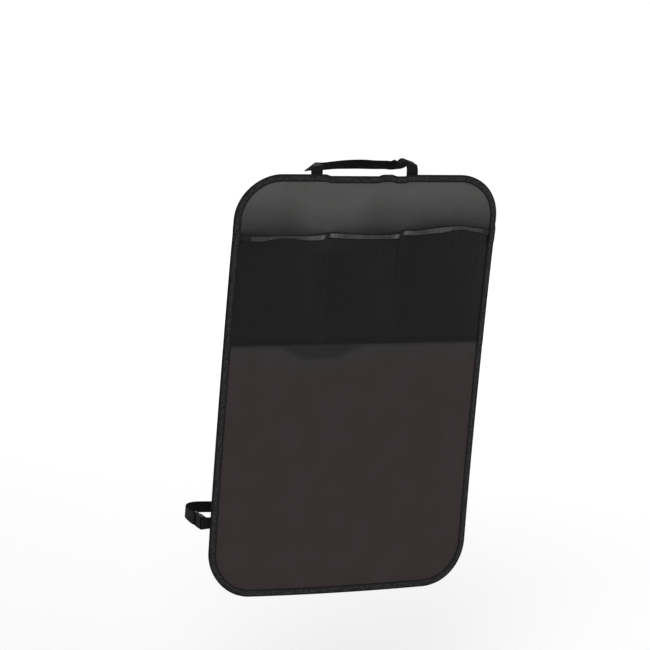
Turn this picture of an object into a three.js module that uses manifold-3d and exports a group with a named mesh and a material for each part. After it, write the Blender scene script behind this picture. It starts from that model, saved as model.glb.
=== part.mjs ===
// Car seat kick mat with three net pockets, shown as it hangs on the back of a front seat.
// Millimetres. +Z is up, the side with the pockets faces -Y, and the seat is on the +Y side.
// The origin is the middle of the mat's back face.
import * as THREE from "three";
import { mergeVertices } from "three/addons/utils/BufferGeometryUtils.js";
import Module from "manifold-3d";

// Mat
const MAT_WIDTH = 460;
const MAT_HEIGHT = 700;
const CORNER_RADIUS = 75;
const PANEL_THICKNESS = 1.2;
const SEAT_HOLLOW = 8; // how far the seat's hollow back bows the mat
const HOLLOW_FLAT_HALF = 50; // half height of the flat middle
const EDGE_ROLL = 4; // how far the side edges roll back round the seat
const EDGE_ROLL_WIDTH = 40;
const FOOT_BELLY = 4.7; // the foot is cut on a shallow curve
const TOP_SAG = 2.5; // the top edge hangs between the strap's ends
const EDGE_SHAPE_HEIGHT = 110; // how far the belly and the sag reach into the mat

// Layers
const SEWN_GAP = 0.3; // clearance between sewn layers
const TAPE_THICKNESS = 0.7;
const TAPE_FRONT = 12; // width of the edge tape on the mat
const TAPE_ROUNDING = 0.8;
const NET_THICKNESS = 0.6;
const HEM_THICKNESS = 0.8;
const HEM_HEIGHT = 10;

// Pockets
const POCKET_FOOT = 281; // from the mat's top edge down to the foot of the net
const DIVIDER_LEFT_X = -68; // the bands of stitching that part the pockets
const DIVIDER_RIGHT_X = 61;
const DIVIDER_WIDTH = 6;
const POCKET_DEPTH = 17; // how far a pocket stands open
const POCKET_FULLNESS = 0.8; // below 1 the pocket's round is fuller than a sine
const DEEPEST_RISE = 0.7; // share of the net's height where a pocket stands furthest open
const MOUTH_DRAWN_IN = 0.2; // share of that depth which the hem's stretch takes back
const NET_FOOT_FOLD = 7; // the net is turned up and doubled along its foot
const NET_UNDER_TAPE = 8; // how far the net and its hem go in under the edge tape
const NET_COLUMNS = 8; // gaps across one pocket
const NET_ROWS = 5; // gaps up one pocket
const NET_STRAND = 5; // width left between two gaps
const TAPE_STEP = 6; // length over which the edge tape climbs over a layer
const LAYER_MARGIN = 1.5; // the tape is up this far before a layer starts
// Height of the hem: x, and the distance from the mat's top edge to the hem's top
const HEM_LINE = [
  [-230, 98], [-190, 97.2], [-147, 96.4], [-112, 96.4], [-77, 96.1], [-64, 94.4], [-40, 93.4],
  [-5, 94.4], [22, 95.3], [45, 95.4], [57, 94.2], [66, 90.6], [83, 89.5], [105, 84.8],
  [126, 82], [148, 80.4], [164, 81.2], [180, 83.9], [198, 86.1], [230, 95],
];

// Webbing
const HEADREST_WEB_WIDTH = 20;
const LOWER_WEB_WIDTH = 19;
const WEB_THICKNESS = 1.2;
const HEADREST_WEB_GAP = 0.45; // clearance of the headrest strap's sewn ends behind the panel
const LOWER_WEB_GAP = 0.6; // clearance of the lower webs' sewn ends behind the edge tape

// Headrest strap
const HEADREST_LEFT_X = -96.5;
const HEADREST_RIGHT_X = 69.5;
const HEADREST_SEWN = 30; // length sewn to the back of the mat
const STRAP_BACK_Y = 58; // the strap passes behind the headrest's posts here
const STRAP_RISE = 16; // how far the strap stands up above the mat before it turns back

// Lower strap
const LOWER_STRAP_DROP = 576.7; // from the mat's top edge to the strap's middle
const SEAT_DEPTH = 92; // depth of the loop round the seat
const SEAT_CORNER = 34; // radius of the loop's far corners
const LOOP_RIGHT_OUT = 13; // from the mat's right edge out to the loop
const LOOP_RIGHT_LEAN = 15; // degrees that the loop leans in behind the right edge
const LOWER_STRAP_SAG = 6;
const LOWER_SEWN = 30;
const LOWER_FREE = 8; // the strap leaves the mat's back this far inside the right edge
const TAB_RUN_OUT = 0.5; // the tab runs on straight this far past the left edge

// Buckle
const BUCKLE_OUT = 10.2; // from the mat's left edge out to the middle of the socket's end
const BUCKLE_Y = 3; // where the socket's bar end starts
const BUCKLE_TURN = 7; // degrees that the buckle leans out from the seat
const BUCKLE_END_HALF = 11; // half width at both web ends
const BUCKLE_MIDDLE_HALF = 11.2; // half width where the two halves meet
const BUCKLE_ROUNDING = 2.5;
const BUCKLE_SOFTENING = 0.8;
const SOCKET_LENGTH = 20;
const SOCKET_THICKNESS = 7.6;
const SOCKET_WALL = 1.5;
const CAVITY_HALF = 9.4;
const BAR_LENGTH = 2.4;
const BAR_THICKNESS = 2.4;
const WEB_SLOT = 2.8; // slot length along the strap
const WEB_SIDE_GAP = 0.4; // clearance between a web's edge and its slot's end
const WINDOW_LENGTH = 8;
const WINDOW_FROM_MOUTH = 3.5;
const MOULD_GAP = 0.35; // clearance between plug and socket
const PLUG_BASE_LENGTH = 13.5;
const PLUG_BASE_THICKNESS = 5.6;
const PRONG_INSET = 0.75; // from the cavity's side wall to a prong
const PRONG_WIDTH = 2.2;
const PRONG_TIP = 1.5; // from the cavity's end to a prong's tip
const BARB_STEP = 2.5;
const BARB_LENGTH = 3;
const GUIDE_WIDTH = 3;
const TAIL_LENGTH = 9; // free end of the web past the plug

const HALF_WIDTH = MAT_WIDTH / 2;
const HALF_HEIGHT = MAT_HEIGHT / 2;
const PANEL_INSET = TAPE_THICKNESS + SEWN_GAP;
const NET_BACK = -(PANEL_THICKNESS + SEWN_GAP); // back face of a net that lies on the panel
const NET_SIDE_X = HALF_WIDTH - TAPE_FRONT + NET_UNDER_TAPE;
const TAPE_INNER_X = HALF_WIDTH - TAPE_FRONT;
const HEM_LIFT = HEM_THICKNESS + SEWN_GAP; // the hem's back leg holds the net off the panel
const LOWER_STRAP_Z = HALF_HEIGHT - LOWER_STRAP_DROP;
const netFoot = HALF_HEIGHT - POCKET_FOOT;
// Along the buckle, from the socket's bar end
const CAVITY_START = BAR_LENGTH + WEB_SLOT + SOCKET_WALL;
const WINDOW_END = SOCKET_LENGTH - WINDOW_FROM_MOUTH;
const PLUG_START = SOCKET_LENGTH + MOULD_GAP;
const PLUG_END = PLUG_START + PLUG_BASE_LENGTH;
// Seen from above, the ways along the buckle and out from the seat
const buckleAngle = THREE.MathUtils.degToRad(BUCKLE_TURN);
const alongBuckle = new THREE.Vector2(-Math.sin(buckleAngle), Math.cos(buckleAngle));
const outOfBuckle = new THREE.Vector2(-Math.cos(buckleAngle), -Math.sin(buckleAngle));
const bucklePlace = new THREE.Vector2(-HALF_WIDTH - BUCKLE_OUT, BUCKLE_Y);
// The web's free end lies on the plug, and the part that goes round the seat on top of it
const TAIL_OUT = PLUG_BASE_THICKNESS / 2 + SEWN_GAP + WEB_THICKNESS / 2;
const STANDING_OUT = TAIL_OUT + WEB_THICKNESS + SEWN_GAP;
const [LOOP_LEFT_X] = fromBuckle([PLUG_END, STANDING_OUT]);
const LOOP_RIGHT_X = HALF_WIDTH + LOOP_RIGHT_OUT;

const wasm = await Module();
wasm.setup();

// Smooth step from 0 at a to 1 at b
function ramp(value, a, b) {
  const t = THREE.MathUtils.clamp((value - a) / (b - a), 0, 1);
  return t * t * (3 - 2 * t);
}

// How far the mat's back face stands from the plane y = 0
function seatSurface(x, z) {
  const beyond = Math.max(0, Math.abs(z) - HOLLOW_FLAT_HALF);
  const bow = -SEAT_HOLLOW * (beyond / (HALF_HEIGHT - HOLLOW_FLAT_HALF)) ** 2;
  const edge = Math.max(0, Math.abs(x) - (HALF_WIDTH - EDGE_ROLL_WIDTH)) / EDGE_ROLL_WIDTH;
  return bow + EDGE_ROLL * edge ** 2;
}

// Height of a point of the flat pattern once the belly and the sag are in
function shapedHeight(x, z) {
  const belly = FOOT_BELLY * (1 - (x / HALF_WIDTH) ** 2);
  const down = ramp(-z, HALF_HEIGHT - EDGE_SHAPE_HEIGHT, HALF_HEIGHT);
  const across = (x - HEADREST_LEFT_X) / (HEADREST_RIGHT_X - HEADREST_LEFT_X);
  const sag = across > 0 && across < 1 ? TOP_SAG * Math.sin(Math.PI * across) ** 2 : 0;
  const up = ramp(z, HALF_HEIGHT - EDGE_SHAPE_HEIGHT, HALF_HEIGHT);
  return z - belly * down - sag * up;
}

// A point of the flat pattern, set off from the mat's back face, in place on the seat
function place(x, z, offset) {
  return new THREE.Vector3(x, seatSurface(x, z) + offset, shapedHeight(x, z));
}

// Triangles of a list of faces as one closed geometry
function geometryOf(triangles) {
  const positions = new Float32Array(triangles.length * 9);
  triangles.forEach((triangle, i) =>
    triangle.forEach((point, j) => point.toArray(positions, i * 9 + j * 3)),
  );
  const geometry = new THREE.BufferGeometry();
  geometry.setAttribute("position", new THREE.BufferAttribute(positions, 3));
  return geometry;
}

// The same geometry with its faces turned the other way, where they point in
function facingOut(geometry) {
  const p = geometry.getAttribute("position");
  const [a, b, c] = [new THREE.Vector3(), new THREE.Vector3(), new THREE.Vector3()];
  let volume = 0;
  for (let i = 0; i < p.count; i += 3) {
    a.fromBufferAttribute(p, i);
    b.fromBufferAttribute(p, i + 1);
    c.fromBufferAttribute(p, i + 2);
    volume += a.dot(b.cross(c));
  }
  if (volume > 0) return geometry;
  for (let i = 0; i < p.count; i += 3) {
    b.fromBufferAttribute(p, i + 1);
    c.fromBufferAttribute(p, i + 2);
    p.setXYZ(i + 1, c.x, c.y, c.z);
    p.setXYZ(i + 2, b.x, b.y, b.z);
  }
  return geometry;
}

// A solid through rings of equal length. Without closed, section gives its end caps in 2-D.
function loft(rings, { closed = false, section = null } = {}) {
  const triangles = [];
  const count = rings[0].length;
  const spans = closed ? rings.length : rings.length - 1;
  for (let i = 0; i < spans; i++) {
    const here = rings[i];
    const next = rings[(i + 1) % rings.length];
    for (let j = 0; j < count; j++) {
      const k = (j + 1) % count;
      triangles.push([here[j], here[k], next[k]], [here[j], next[k], next[j]]);
    }
  }
  if (!closed) {
    const [first, last] = [rings[0], rings[rings.length - 1]];
    const area = THREE.ShapeUtils.area(section);
    for (const [i, j, k] of THREE.ShapeUtils.triangulateShape(section, [])) {
      const sameWay = THREE.ShapeUtils.area([section[i], section[j], section[k]]) * area > 0;
      const [m, n] = sameWay ? [j, k] : [k, j];
      triangles.push([first[i], first[n], first[m]], [last[i], last[m], last[n]]);
    }
  }
  return facingOut(geometryOf(triangles));
}

// A closed sheet over a grid. at gives a point of its front or back face, and gapIn the
// outline of the gap in a cell, in the grid's own values, or nothing.
function sheet(columns, rows, at, gapIn = () => null) {
  const triangles = [];
  const quad = (a, b, c, d) => triangles.push([a, b, c], [a, c, d]);
  const wall = (from, to) => quad(at(...to, true), at(...from, true), at(...from, false), at(...to, false));
  for (let i = 0; i < columns.length - 1; i++) {
    for (let j = 0; j < rows.length - 1; j++) {
      const [x0, x1, r0, r1] = [columns[i], columns[i + 1], rows[j], rows[j + 1]];
      const corners = [[x0, r0], [x1, r0], [x1, r1], [x0, r1]];
      const gap = gapIn(i, j);
      for (const front of [true, false]) {
        const [c0, c1, c2, c3] = corners.map(([x, r]) => at(x, r, front));
        const faces = [[c0, c1, c2], [c0, c2, c3]];
        if (gap) {
          const [g0, g1, g2, g3, g4, g5] = gap.map(([x, r]) => at(x, r, front));
          faces.splice(
            0, 2,
            [c0, c1, g1], [c0, g1, g0], [c1, g2, g1], [c1, c2, g2], [c2, g3, g2],
            [c2, c3, g4], [c2, g4, g3], [c3, g5, g4], [c3, c0, g5], [c0, g0, g5],
          );
        }
        faces.forEach(([a, b, c]) => triangles.push(front ? [a, b, c] : [a, c, b]));
      }
      if (gap) gap.forEach((here, k) => wall(gap[(k + 1) % gap.length], here));
    }
  }
  const [left, right] = [columns[0], columns[columns.length - 1]];
  const [low, high] = [rows[0], rows[rows.length - 1]];
  for (let i = 0; i < columns.length - 1; i++) {
    wall([columns[i], low], [columns[i + 1], low]);
    wall([columns[i + 1], high], [columns[i], high]);
  }
  for (let j = 0; j < rows.length - 1; j++) {
    wall([left, rows[j + 1]], [left, rows[j]]);
    wall([right, rows[j]], [right, rows[j + 1]]);
  }
  return facingOut(geometryOf(triangles));
}

// A closed solid of a three.js geometry, for cutting and joining
function solidOf(geometry) {
  const bare = geometry.index ? geometry.toNonIndexed() : geometry.clone();
  bare.deleteAttribute("normal");
  bare.deleteAttribute("uv");
  const merged = mergeVertices(bare, 1e-4);
  return new wasm.Manifold(
    new wasm.Mesh({
      numProp: 3,
      vertProperties: new Float32Array(merged.attributes.position.array),
      triVerts: new Uint32Array(merged.index.array),
    }),
  );
}

function geometryOfSolid(solid) {
  const mesh = solid.getMesh();
  const geometry = new THREE.BufferGeometry();
  geometry.setAttribute("position", new THREE.BufferAttribute(mesh.vertProperties, 3));
  geometry.setIndex(new THREE.BufferAttribute(mesh.triVerts, 1));
  return geometry;
}

function box(from, to) {
  const size = to.map((value, i) => value - from[i]);
  const geometry = new THREE.BoxGeometry(...size);
  geometry.translate(...from.map((value, i) => value + size[i] / 2));
  return solidOf(geometry);
}

// Evenly spaced values, both ends included
function steps(from, to, count) {
  return Array.from({ length: count + 1 }, (_, i) => from + ((to - from) * i) / count);
}

const CORNER_STEPS = 8;
const SIDE_STEPS = 5; // on each side of the flat middle
const EDGE_STEPS = 12;
const ROLL_STEPS = 4;

// Heights of the rows between the corners
function sideHeights() {
  const up = steps(HOLLOW_FLAT_HALF, HALF_HEIGHT - CORNER_RADIUS, SIDE_STEPS);
  return up.map((z) => -z).reverse().concat(up);
}

// Half width of the mat's outline at each row of its height, inset all round
function outlineRows(inset) {
  const radius = CORNER_RADIUS - inset;
  const straight = HALF_HEIGHT - CORNER_RADIUS;
  const foot = steps(0, Math.PI / 2, CORNER_STEPS).map((angle) => ({
    z: -straight - radius * Math.cos(angle),
    halfWidth: HALF_WIDTH - CORNER_RADIUS + radius * Math.sin(angle),
  }));
  const sides = sideHeights().slice(1, -1).map((z) => ({ z, halfWidth: HALF_WIDTH - inset }));
  const top = foot.map(({ z, halfWidth }) => ({ z: -z, halfWidth })).reverse();
  return [...foot, ...sides, ...top];
}

// The one sheet of cloth that everything is sewn to
function backPanel() {
  const rollStart = 1 - EDGE_ROLL_WIDTH / HALF_WIDTH;
  const right = steps(0, rollStart, EDGE_STEPS / 2).concat(steps(rollStart, 1, ROLL_STEPS).slice(1));
  const columns = right.slice(1).reverse().map((u) => -u).concat(right);
  return sheet(columns, outlineRows(PANEL_INSET), (u, { z, halfWidth }, front) =>
    place(u * halfWidth, z, front ? -PANEL_THICKNESS : 0),
  );
}

// Stations round the mat's outline: a point of the flat pattern and the way inwards
function outlineStations() {
  const straight = HALF_HEIGHT - CORNER_RADIUS;
  const flat = HALF_WIDTH - CORNER_RADIUS;
  const corner = (x, z, from) =>
    steps(from, from + Math.PI / 2, CORNER_STEPS).map((angle) => {
      const [c, s] = [Math.cos(angle), Math.sin(angle)];
      return { x: x + CORNER_RADIUS * c, z: z + CORNER_RADIUS * s, inX: -c, inZ: -s };
    });
  const side = (sign) =>
    [...sideHeights().slice(1, -1), ...layerHeights(sign)]
      .sort((a, b) => a - b)
      .map((z) => ({ x: sign * HALF_WIDTH, z, inX: -sign, inZ: 0 }));
  const ends = steps(-flat, flat, EDGE_STEPS).slice(1, -1);
  return [
    ...corner(flat, straight, 0),
    ...ends.map((x) => ({ x: -x, z: HALF_HEIGHT, inX: 0, inZ: -1 })),
    ...corner(-flat, straight, Math.PI / 2),
    ...side(-1).reverse(),
    ...corner(-flat, -straight, Math.PI),
    ...ends.map((x) => ({ x, z: -HALF_HEIGHT, inX: 0, inZ: 1 })),
    ...corner(flat, -straight, 1.5 * Math.PI),
    ...side(1),
  ];
}

// Where the edge tape climbs over the net and over the hem's end, from the foot up
function layerHeights(sign) {
  const ends = [TAPE_INNER_X, NET_SIDE_X].map((x) => hemHeight(sign * x));
  const hemTop = Math.max(...ends) + LAYER_MARGIN;
  const hemFoot = Math.min(...ends) - HEM_HEIGHT - LAYER_MARGIN;
  const climb = netFoot + (hemFoot - netFoot) * netRows[NET_ROWS] - 2 * LAYER_MARGIN;
  const foot = netFoot - LAYER_MARGIN;
  return [foot - TAPE_STEP, foot, climb, hemFoot, hemTop, hemTop + TAPE_STEP];
}

// How far the tape's front leg stands off the panel at a given height
function tapeLift(sign, z) {
  const heights = layerHeights(sign);
  const overNet = NET_THICKNESS + SEWN_GAP;
  const overHem = overNet + 2 * HEM_LIFT;
  const lifts = [0, overNet, overNet, overHem, overHem, 0];
  if (z <= heights[0] || z >= heights[heights.length - 1]) return 0;
  const i = heights.findIndex((height) => z < height);
  return THREE.MathUtils.mapLinear(z, heights[i - 1], heights[i], lifts[i - 1], lifts[i]);
}

// Tape folded over the mat's edge, all the way round
function edgeTape() {
  const backInner = SEWN_GAP;
  const backOuter = backInner + TAPE_THICKNESS;
  const rings = outlineStations().map(({ x, z, inX, inZ }) => {
    const frontInner = NET_BACK - tapeLift(Math.sign(x), z);
    const frontOuter = frontInner - TAPE_THICKNESS;
    // distance in from the edge, and offset from the mat's back face
    const section = [
      [TAPE_FRONT, frontOuter], [TAPE_FRONT / 2, frontOuter], [TAPE_ROUNDING, frontOuter],
      [0, frontOuter + TAPE_ROUNDING], [0, backOuter - TAPE_ROUNDING],
      [TAPE_ROUNDING, backOuter], [TAPE_FRONT / 2, backOuter], [TAPE_FRONT, backOuter],
      [TAPE_FRONT, backInner], [TAPE_FRONT / 2, backInner], [TAPE_THICKNESS, backInner],
      [TAPE_THICKNESS, frontInner], [TAPE_FRONT / 2, frontInner], [TAPE_FRONT, frontInner],
    ];
    return section.map(([inwards, offset]) => place(x + inX * inwards, z + inZ * inwards, offset));
  });
  return loft(rings, { closed: true });
}

const hemCurve = new THREE.CatmullRomCurve3(
  HEM_LINE.map(([x, drop]) => new THREE.Vector3(x, HALF_HEIGHT - drop, 0)),
);

// Height of the hem's top at a given x
function hemHeight(x) {
  let [low, high] = [0, 1];
  for (let i = 0; i < 30; i++) {
    const middle = (low + high) / 2;
    if (hemCurve.getPoint(middle).x < x) low = middle;
    else high = middle;
  }
  return hemCurve.getPoint((low + high) / 2).y;
}

const pockets = [
  [-TAPE_INNER_X, DIVIDER_LEFT_X - DIVIDER_WIDTH / 2],
  [DIVIDER_LEFT_X + DIVIDER_WIDTH / 2, DIVIDER_RIGHT_X - DIVIDER_WIDTH / 2],
  [DIVIDER_RIGHT_X + DIVIDER_WIDTH / 2, TAPE_INNER_X],
];
const netHeight = netTop(0) - netFoot;
// Rows of the net: its foot, the top of the doubled foot, the gaps, the hem's foot, its top
const netRows = [
  0,
  ...steps(NET_FOOT_FOLD / netHeight, 1 - (HEM_HEIGHT - HEM_THICKNESS) / netHeight, NET_ROWS),
  1,
];
const netColumns = [
  -NET_SIDE_X,
  ...pockets.flatMap(([from, to]) => steps(from, to, NET_COLUMNS)),
  NET_SIDE_X,
];

// Height of the net's top edge, inside the hem's fold
function netTop(x) {
  return hemHeight(x) - HEM_THICKNESS - SEWN_GAP;
}

// How far the net stands off the panel. rise is 0 at the net's foot and 1 at its top.
function netLift(x, rise) {
  const pocket = pockets.find(([from, to]) => x > from && x < to);
  const across = pocket ? Math.sin((Math.PI * (x - pocket[0])) / (pocket[1] - pocket[0])) : 0;
  const opening = Math.sin((Math.PI / 2) * Math.min(1, rise / DEEPEST_RISE));
  const up = opening * (1 - MOUTH_DRAWN_IN * ramp(rise, DEEPEST_RISE, 1));
  const [climb, held] = [netRows[NET_ROWS], netRows[NET_ROWS + 1]];
  const hemLift = HEM_LIFT * THREE.MathUtils.clamp((rise - climb) / (held - climb), 0, 1);
  return hemLift + POCKET_DEPTH * across ** POCKET_FULLNESS * up;
}

// Net wall of the three pockets: one sheet, with gaps
function pocketNet() {
  const at = (x, rise, front) => {
    const offset = NET_BACK - netLift(x, rise) - (front ? NET_THICKNESS : 0);
    return place(x, netFoot + (netTop(x) - netFoot) * rise, offset);
  };
  // a six-sided gap in each cell of a pocket
  const gapIn = (i, j) => {
    if (i % (NET_COLUMNS + 1) === 0 || j === 0 || j > NET_ROWS) return null;
    const [width, rise] = [netColumns[i + 1] - netColumns[i], netRows[j + 1] - netRows[j]];
    const [marginX, marginR] = [NET_STRAND / 2 / width, NET_STRAND / 2 / (rise * netHeight)];
    return [
      [0.3, marginR], [0.7, marginR], [1 - marginX, 0.5],
      [0.7, 1 - marginR], [0.3, 1 - marginR], [marginX, 0.5],
    ].map(([u, v]) => [netColumns[i] + width * u, netRows[j] + rise * v]);
  };
  return sheet(netColumns, netRows, at, gapIn);
}

// Stretch tape folded over the net's top edge
function pocketHem() {
  const backIn = SEWN_GAP;
  const backOut = backIn + HEM_THICKNESS;
  const frontIn = -(NET_THICKNESS + SEWN_GAP);
  const frontOut = frontIn - HEM_THICKNESS;
  // distance down from the hem's top, and offset from the net's back face
  const section = [
    [HEM_HEIGHT, backIn], [HEM_HEIGHT, backOut], [HEM_THICKNESS / 2, backOut], [0, backIn],
    [0, frontIn], [HEM_THICKNESS / 2, frontOut], [HEM_HEIGHT, frontOut], [HEM_HEIGHT, frontIn],
    [HEM_THICKNESS, frontIn], [HEM_THICKNESS, backIn],
  ];
  const rings = netColumns.map((x) => {
    const top = hemHeight(x);
    return section.map(([down, offset]) => {
      const rise = Math.min(1, (top - down - netFoot) / (netTop(x) - netFoot));
      return place(x, top - down, NET_BACK - netLift(x, rise) + offset);
    });
  });
  return loft(rings, { section: section.map(([down, offset]) => new THREE.Vector2(down, offset)) });
}

// A flat web through stations: middle of the web, and the way across its width
function webbing(stations, width) {
  const rings = stations.map(({ middle, across }, i) => {
    const before = stations[Math.max(0, i - 1)].middle;
    const after = stations[Math.min(stations.length - 1, i + 1)].middle;
    const along = after.clone().sub(before).normalize();
    const side = across.clone().addScaledVector(along, -across.dot(along)).normalize();
    const face = new THREE.Vector3().crossVectors(along, side);
    return [[-1, -1], [1, -1], [1, 1], [-1, 1]].map(([u, v]) =>
      middle.clone()
        .addScaledVector(side, (u * width) / 2)
        .addScaledVector(face, (v * WEB_THICKNESS) / 2),
    );
  });
  const section = [[-1, -1], [1, -1], [1, 1], [-1, 1]].map(([u, v]) => new THREE.Vector2(u, v));
  return loft(rings, { section });
}

// Strap from the mat's top edge, behind the headrest's posts and back
function headrestStrap() {
  const top = HALF_HEIGHT;
  const [left, right] = [HEADREST_LEFT_X, HEADREST_RIGHT_X];
  const ridge = top + STRAP_RISE;
  const far = STRAP_BACK_Y;
  const between = (share) => left + (right - left) * share;
  const onPanel = HEADREST_WEB_GAP + WEB_THICKNESS / 2;
  const onTape = onPanel + SEWN_GAP + TAPE_THICKNESS;
  const behind = (x, down, offset) => [x, seatSurface(x, top - down) + offset, top - down];
  const sewn = (x) => [
    behind(x, HEADREST_SEWN, onPanel),
    behind(x, TAPE_FRONT + 7, onPanel),
    behind(x, TAPE_FRONT + 5, onPanel + 0.1),
    behind(x, TAPE_FRONT, onTape + 0.1),
    behind(x, TAPE_FRONT - 3, onTape),
    behind(x, 2, onTape),
  ];
  // the web's middle, then the way across it
  const path = [
    ...sewn(left).map((point) => [...point, 1, 0, 0]),
    [left + 0.5, -3.5, top + 7, 1, 0, 0],
    [left + 1.5, 0.5, ridge - 5, 1, 0, 0.1],
    [left + 2.5, 8, ridge - 5.5, 0.97, 0, 0.22],
    [left + 3.5, 20, ridge - 8.5, 0.88, 0, 0.42],
    [left + 5, far - 26, ridge - 11, 0.8, 0, 0.58],
    [left + 7.5, far - 14, top + 0.8, 0.72, -0.1, 0.6],
    [left + 13, far - 4.5, top - 1, 0.5, -0.45, 0.7],
    [left + 21.5, far, top - 0.7, 0.15, -0.62, 0.77],
    [between(0.21), far + 1, top - 0.7, 0, -0.66, 0.75],
    [between(0.37), far + 0.5, top + 2, 0, -0.62, 0.78],
    [between(0.5), far, top + 3.2, 0, -0.54, 0.84],
    [between(0.635), far, top + 3.5, 0, -0.53, 0.85],
    [between(0.765), far, top + 2.7, 0, -0.58, 0.81],
    [right - 18, far, top + 2.6, 0, -0.6, 0.8],
    [right - 9.5, far - 2, top + 2.4, -0.1, -0.58, 0.8],
    [right - 2.5, far - 8, top + 5.2, -0.35, -0.45, 0.8],
    [right + 0.5, far - 20, top + 9.2, -0.85, -0.2, 0.48],
    [right, far - 32, ridge + 0.3, -0.96, 0, 0.22],
    [right - 1, 12, ridge + 3.2, -0.95, 0, 0.3],
    [right - 1, 0, ridge + 0.6, -0.95, 0, 0.3],
    [right, -4.5, top + 8, -1, 0, 0.08],
    ...sewn(right).reverse().map((point) => [...point, -1, 0, 0]),
  ];
  const middles = new THREE.CatmullRomCurve3(path.map(([x, y, z]) => new THREE.Vector3(x, y, z)));
  const ways = new THREE.CatmullRomCurve3(path.map(([, , , x, y, z]) => new THREE.Vector3(x, y, z)));
  const stations = steps(0, 1, 2 * (path.length - 1)).map((t) => ({
    middle: middles.getPoint(t),
    across: ways.getPoint(t).normalize(),
  }));
  return webbing(stations, HEADREST_WEB_WIDTH);
}

// A web that stands on edge, through points seen from above. sag lowers its far stretch.
function uprightWeb(points, sag = 0) {
  const stations = points.map(([x, y]) => {
    const share = (x - LOOP_LEFT_X) / (LOOP_RIGHT_X - LOOP_LEFT_X);
    const lower = 4 * sag * share * (1 - share) * ramp(y, SEAT_DEPTH / 2, SEAT_DEPTH);
    return {
      middle: new THREE.Vector3(x, y, LOWER_STRAP_Z - lower),
      across: new THREE.Vector3(0, 0, 1),
    };
  });
  return webbing(stations, LOWER_WEB_WIDTH);
}

// Points of an arc seen from above, angles in degrees
function arc(x, y, radius, from, to, count) {
  return steps(from, to, count).map((degrees) => {
    const angle = THREE.MathUtils.degToRad(degrees);
    return [x + radius * Math.cos(angle), y + radius * Math.sin(angle)];
  });
}

// Where a web lies behind the mat at the lower strap's height, layer by layer
function behindMat(x, layer) {
  const clear = SEWN_GAP + TAPE_THICKNESS + LOWER_WEB_GAP + WEB_THICKNESS / 2;
  return [x, seatSurface(x, LOWER_STRAP_Z) + clear + layer * (WEB_THICKNESS + SEWN_GAP)];
}

// A point given in the buckle's own directions: along the strap, and out from the seat
function fromBuckle([along, out]) {
  return bucklePlace.clone()
    .addScaledVector(alongBuckle, along)
    .addScaledVector(outOfBuckle, out)
    .toArray();
}

// Short web that is looped through the socket's bar and sewn in behind the mat's left edge
function socketTab() {
  const near = steps(HALF_WIDTH - LOWER_SEWN, HALF_WIDTH + TAB_RUN_OUT, 4).map((x) => -x);
  const reach = Math.hypot(BAR_LENGTH, BAR_THICKNESS) / 2 + SEWN_GAP + WEB_THICKNESS / 2;
  const [barX, barY] = fromBuckle([BAR_LENGTH / 2, 0]);
  return uprightWeb([
    ...near.map((x) => behindMat(x, 0)),
    ...arc(barX, barY, reach, 270, 45, 7),
    ...near.map((x) => behindMat(x, 1)).reverse(),
  ]);
}

// Long web from the plug, round the seat's back rest and in behind the mat's right edge
function lowerStrap() {
  const slotA = PLUG_START + BAR_LENGTH + WEB_SLOT / 2;
  const slotB = slotA + WEB_SLOT + BAR_LENGTH;
  const over = BAR_THICKNESS / 2 + 2 * SEWN_GAP + WEB_THICKNESS / 2;
  const threaded = [
    [PLUG_END, TAIL_OUT],
    [slotB + 2, TAIL_OUT + 0.1],
    [slotB + 0.7, TAIL_OUT - 0.3],
    [slotB + 0.1, TAIL_OUT - 1.5],
    [slotB, 0],
    [slotB - 0.5, 0.5 - over],
    [(slotA + slotB) / 2, -over],
    [slotA + 0.5, 0.5 - over],
    [slotA, 0],
    [slotA + 0.1, TAIL_OUT - 0.6],
    [slotA + 1.6, STANDING_OUT - 0.4],
    [slotB, STANDING_OUT],
    [PLUG_END, STANDING_OUT],
  ].map(fromBuckle);
  const [tailX, tailY] = threaded[0];
  const turn = SEAT_DEPTH - SEAT_CORNER;
  const [leftX, rightX] = [LOOP_LEFT_X + SEAT_CORNER, LOOP_RIGHT_X - SEAT_CORNER];
  const left = arc(leftX, turn, SEAT_CORNER, 180, 90, 5);
  const right = arc(rightX, turn, SEAT_CORNER, 90, -LOOP_RIGHT_LEAN, 6);
  const across = steps(leftX, rightX, 12).slice(1, -1).map((x) => [x, SEAT_DEPTH]);
  // from the right corner the loop leans in on a straight line, and bends in behind the mat
  const [fromX, fromY] = right[right.length - 1];
  const edgeY = behindMat(HALF_WIDTH, 0)[1];
  const edgeX = fromX - (fromY - edgeY) * Math.tan(THREE.MathUtils.degToRad(LOOP_RIGHT_LEAN));
  const sewn = steps(HALF_WIDTH - LOWER_FREE, HALF_WIDTH - LOWER_SEWN, 3).map((x) => behindMat(x, 0));
  const bend = new THREE.QuadraticBezierCurve(
    new THREE.Vector2(fromX, fromY), new THREE.Vector2(edgeX, edgeY), new THREE.Vector2(...sewn[0]),
  );
  const bendPoints = bend.getPoints(8).slice(1, -1).map((point) => point.toArray());
  return uprightWeb(
    [[tailX, tailY + TAIL_LENGTH], ...threaded, ...left, ...across, ...right, ...bendPoints, ...sewn],
    LOWER_STRAP_SAG,
  );
}

// A moulding's outline, extruded with softened edges. Length runs along X, width along Y.
function moulding(points, thickness, softening) {
  const shape = new THREE.Shape(points.map(([x, y]) => new THREE.Vector2(x, y)));
  const geometry = new THREE.ExtrudeGeometry(shape, {
    depth: thickness - 2 * softening,
    bevelEnabled: softening > 0,
    bevelThickness: softening,
    bevelSize: softening,
    bevelOffset: -softening,
    bevelSegments: 2,
  });
  geometry.translate(0, 0, -(thickness / 2 - softening));
  return solidOf(geometry);
}

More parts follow.
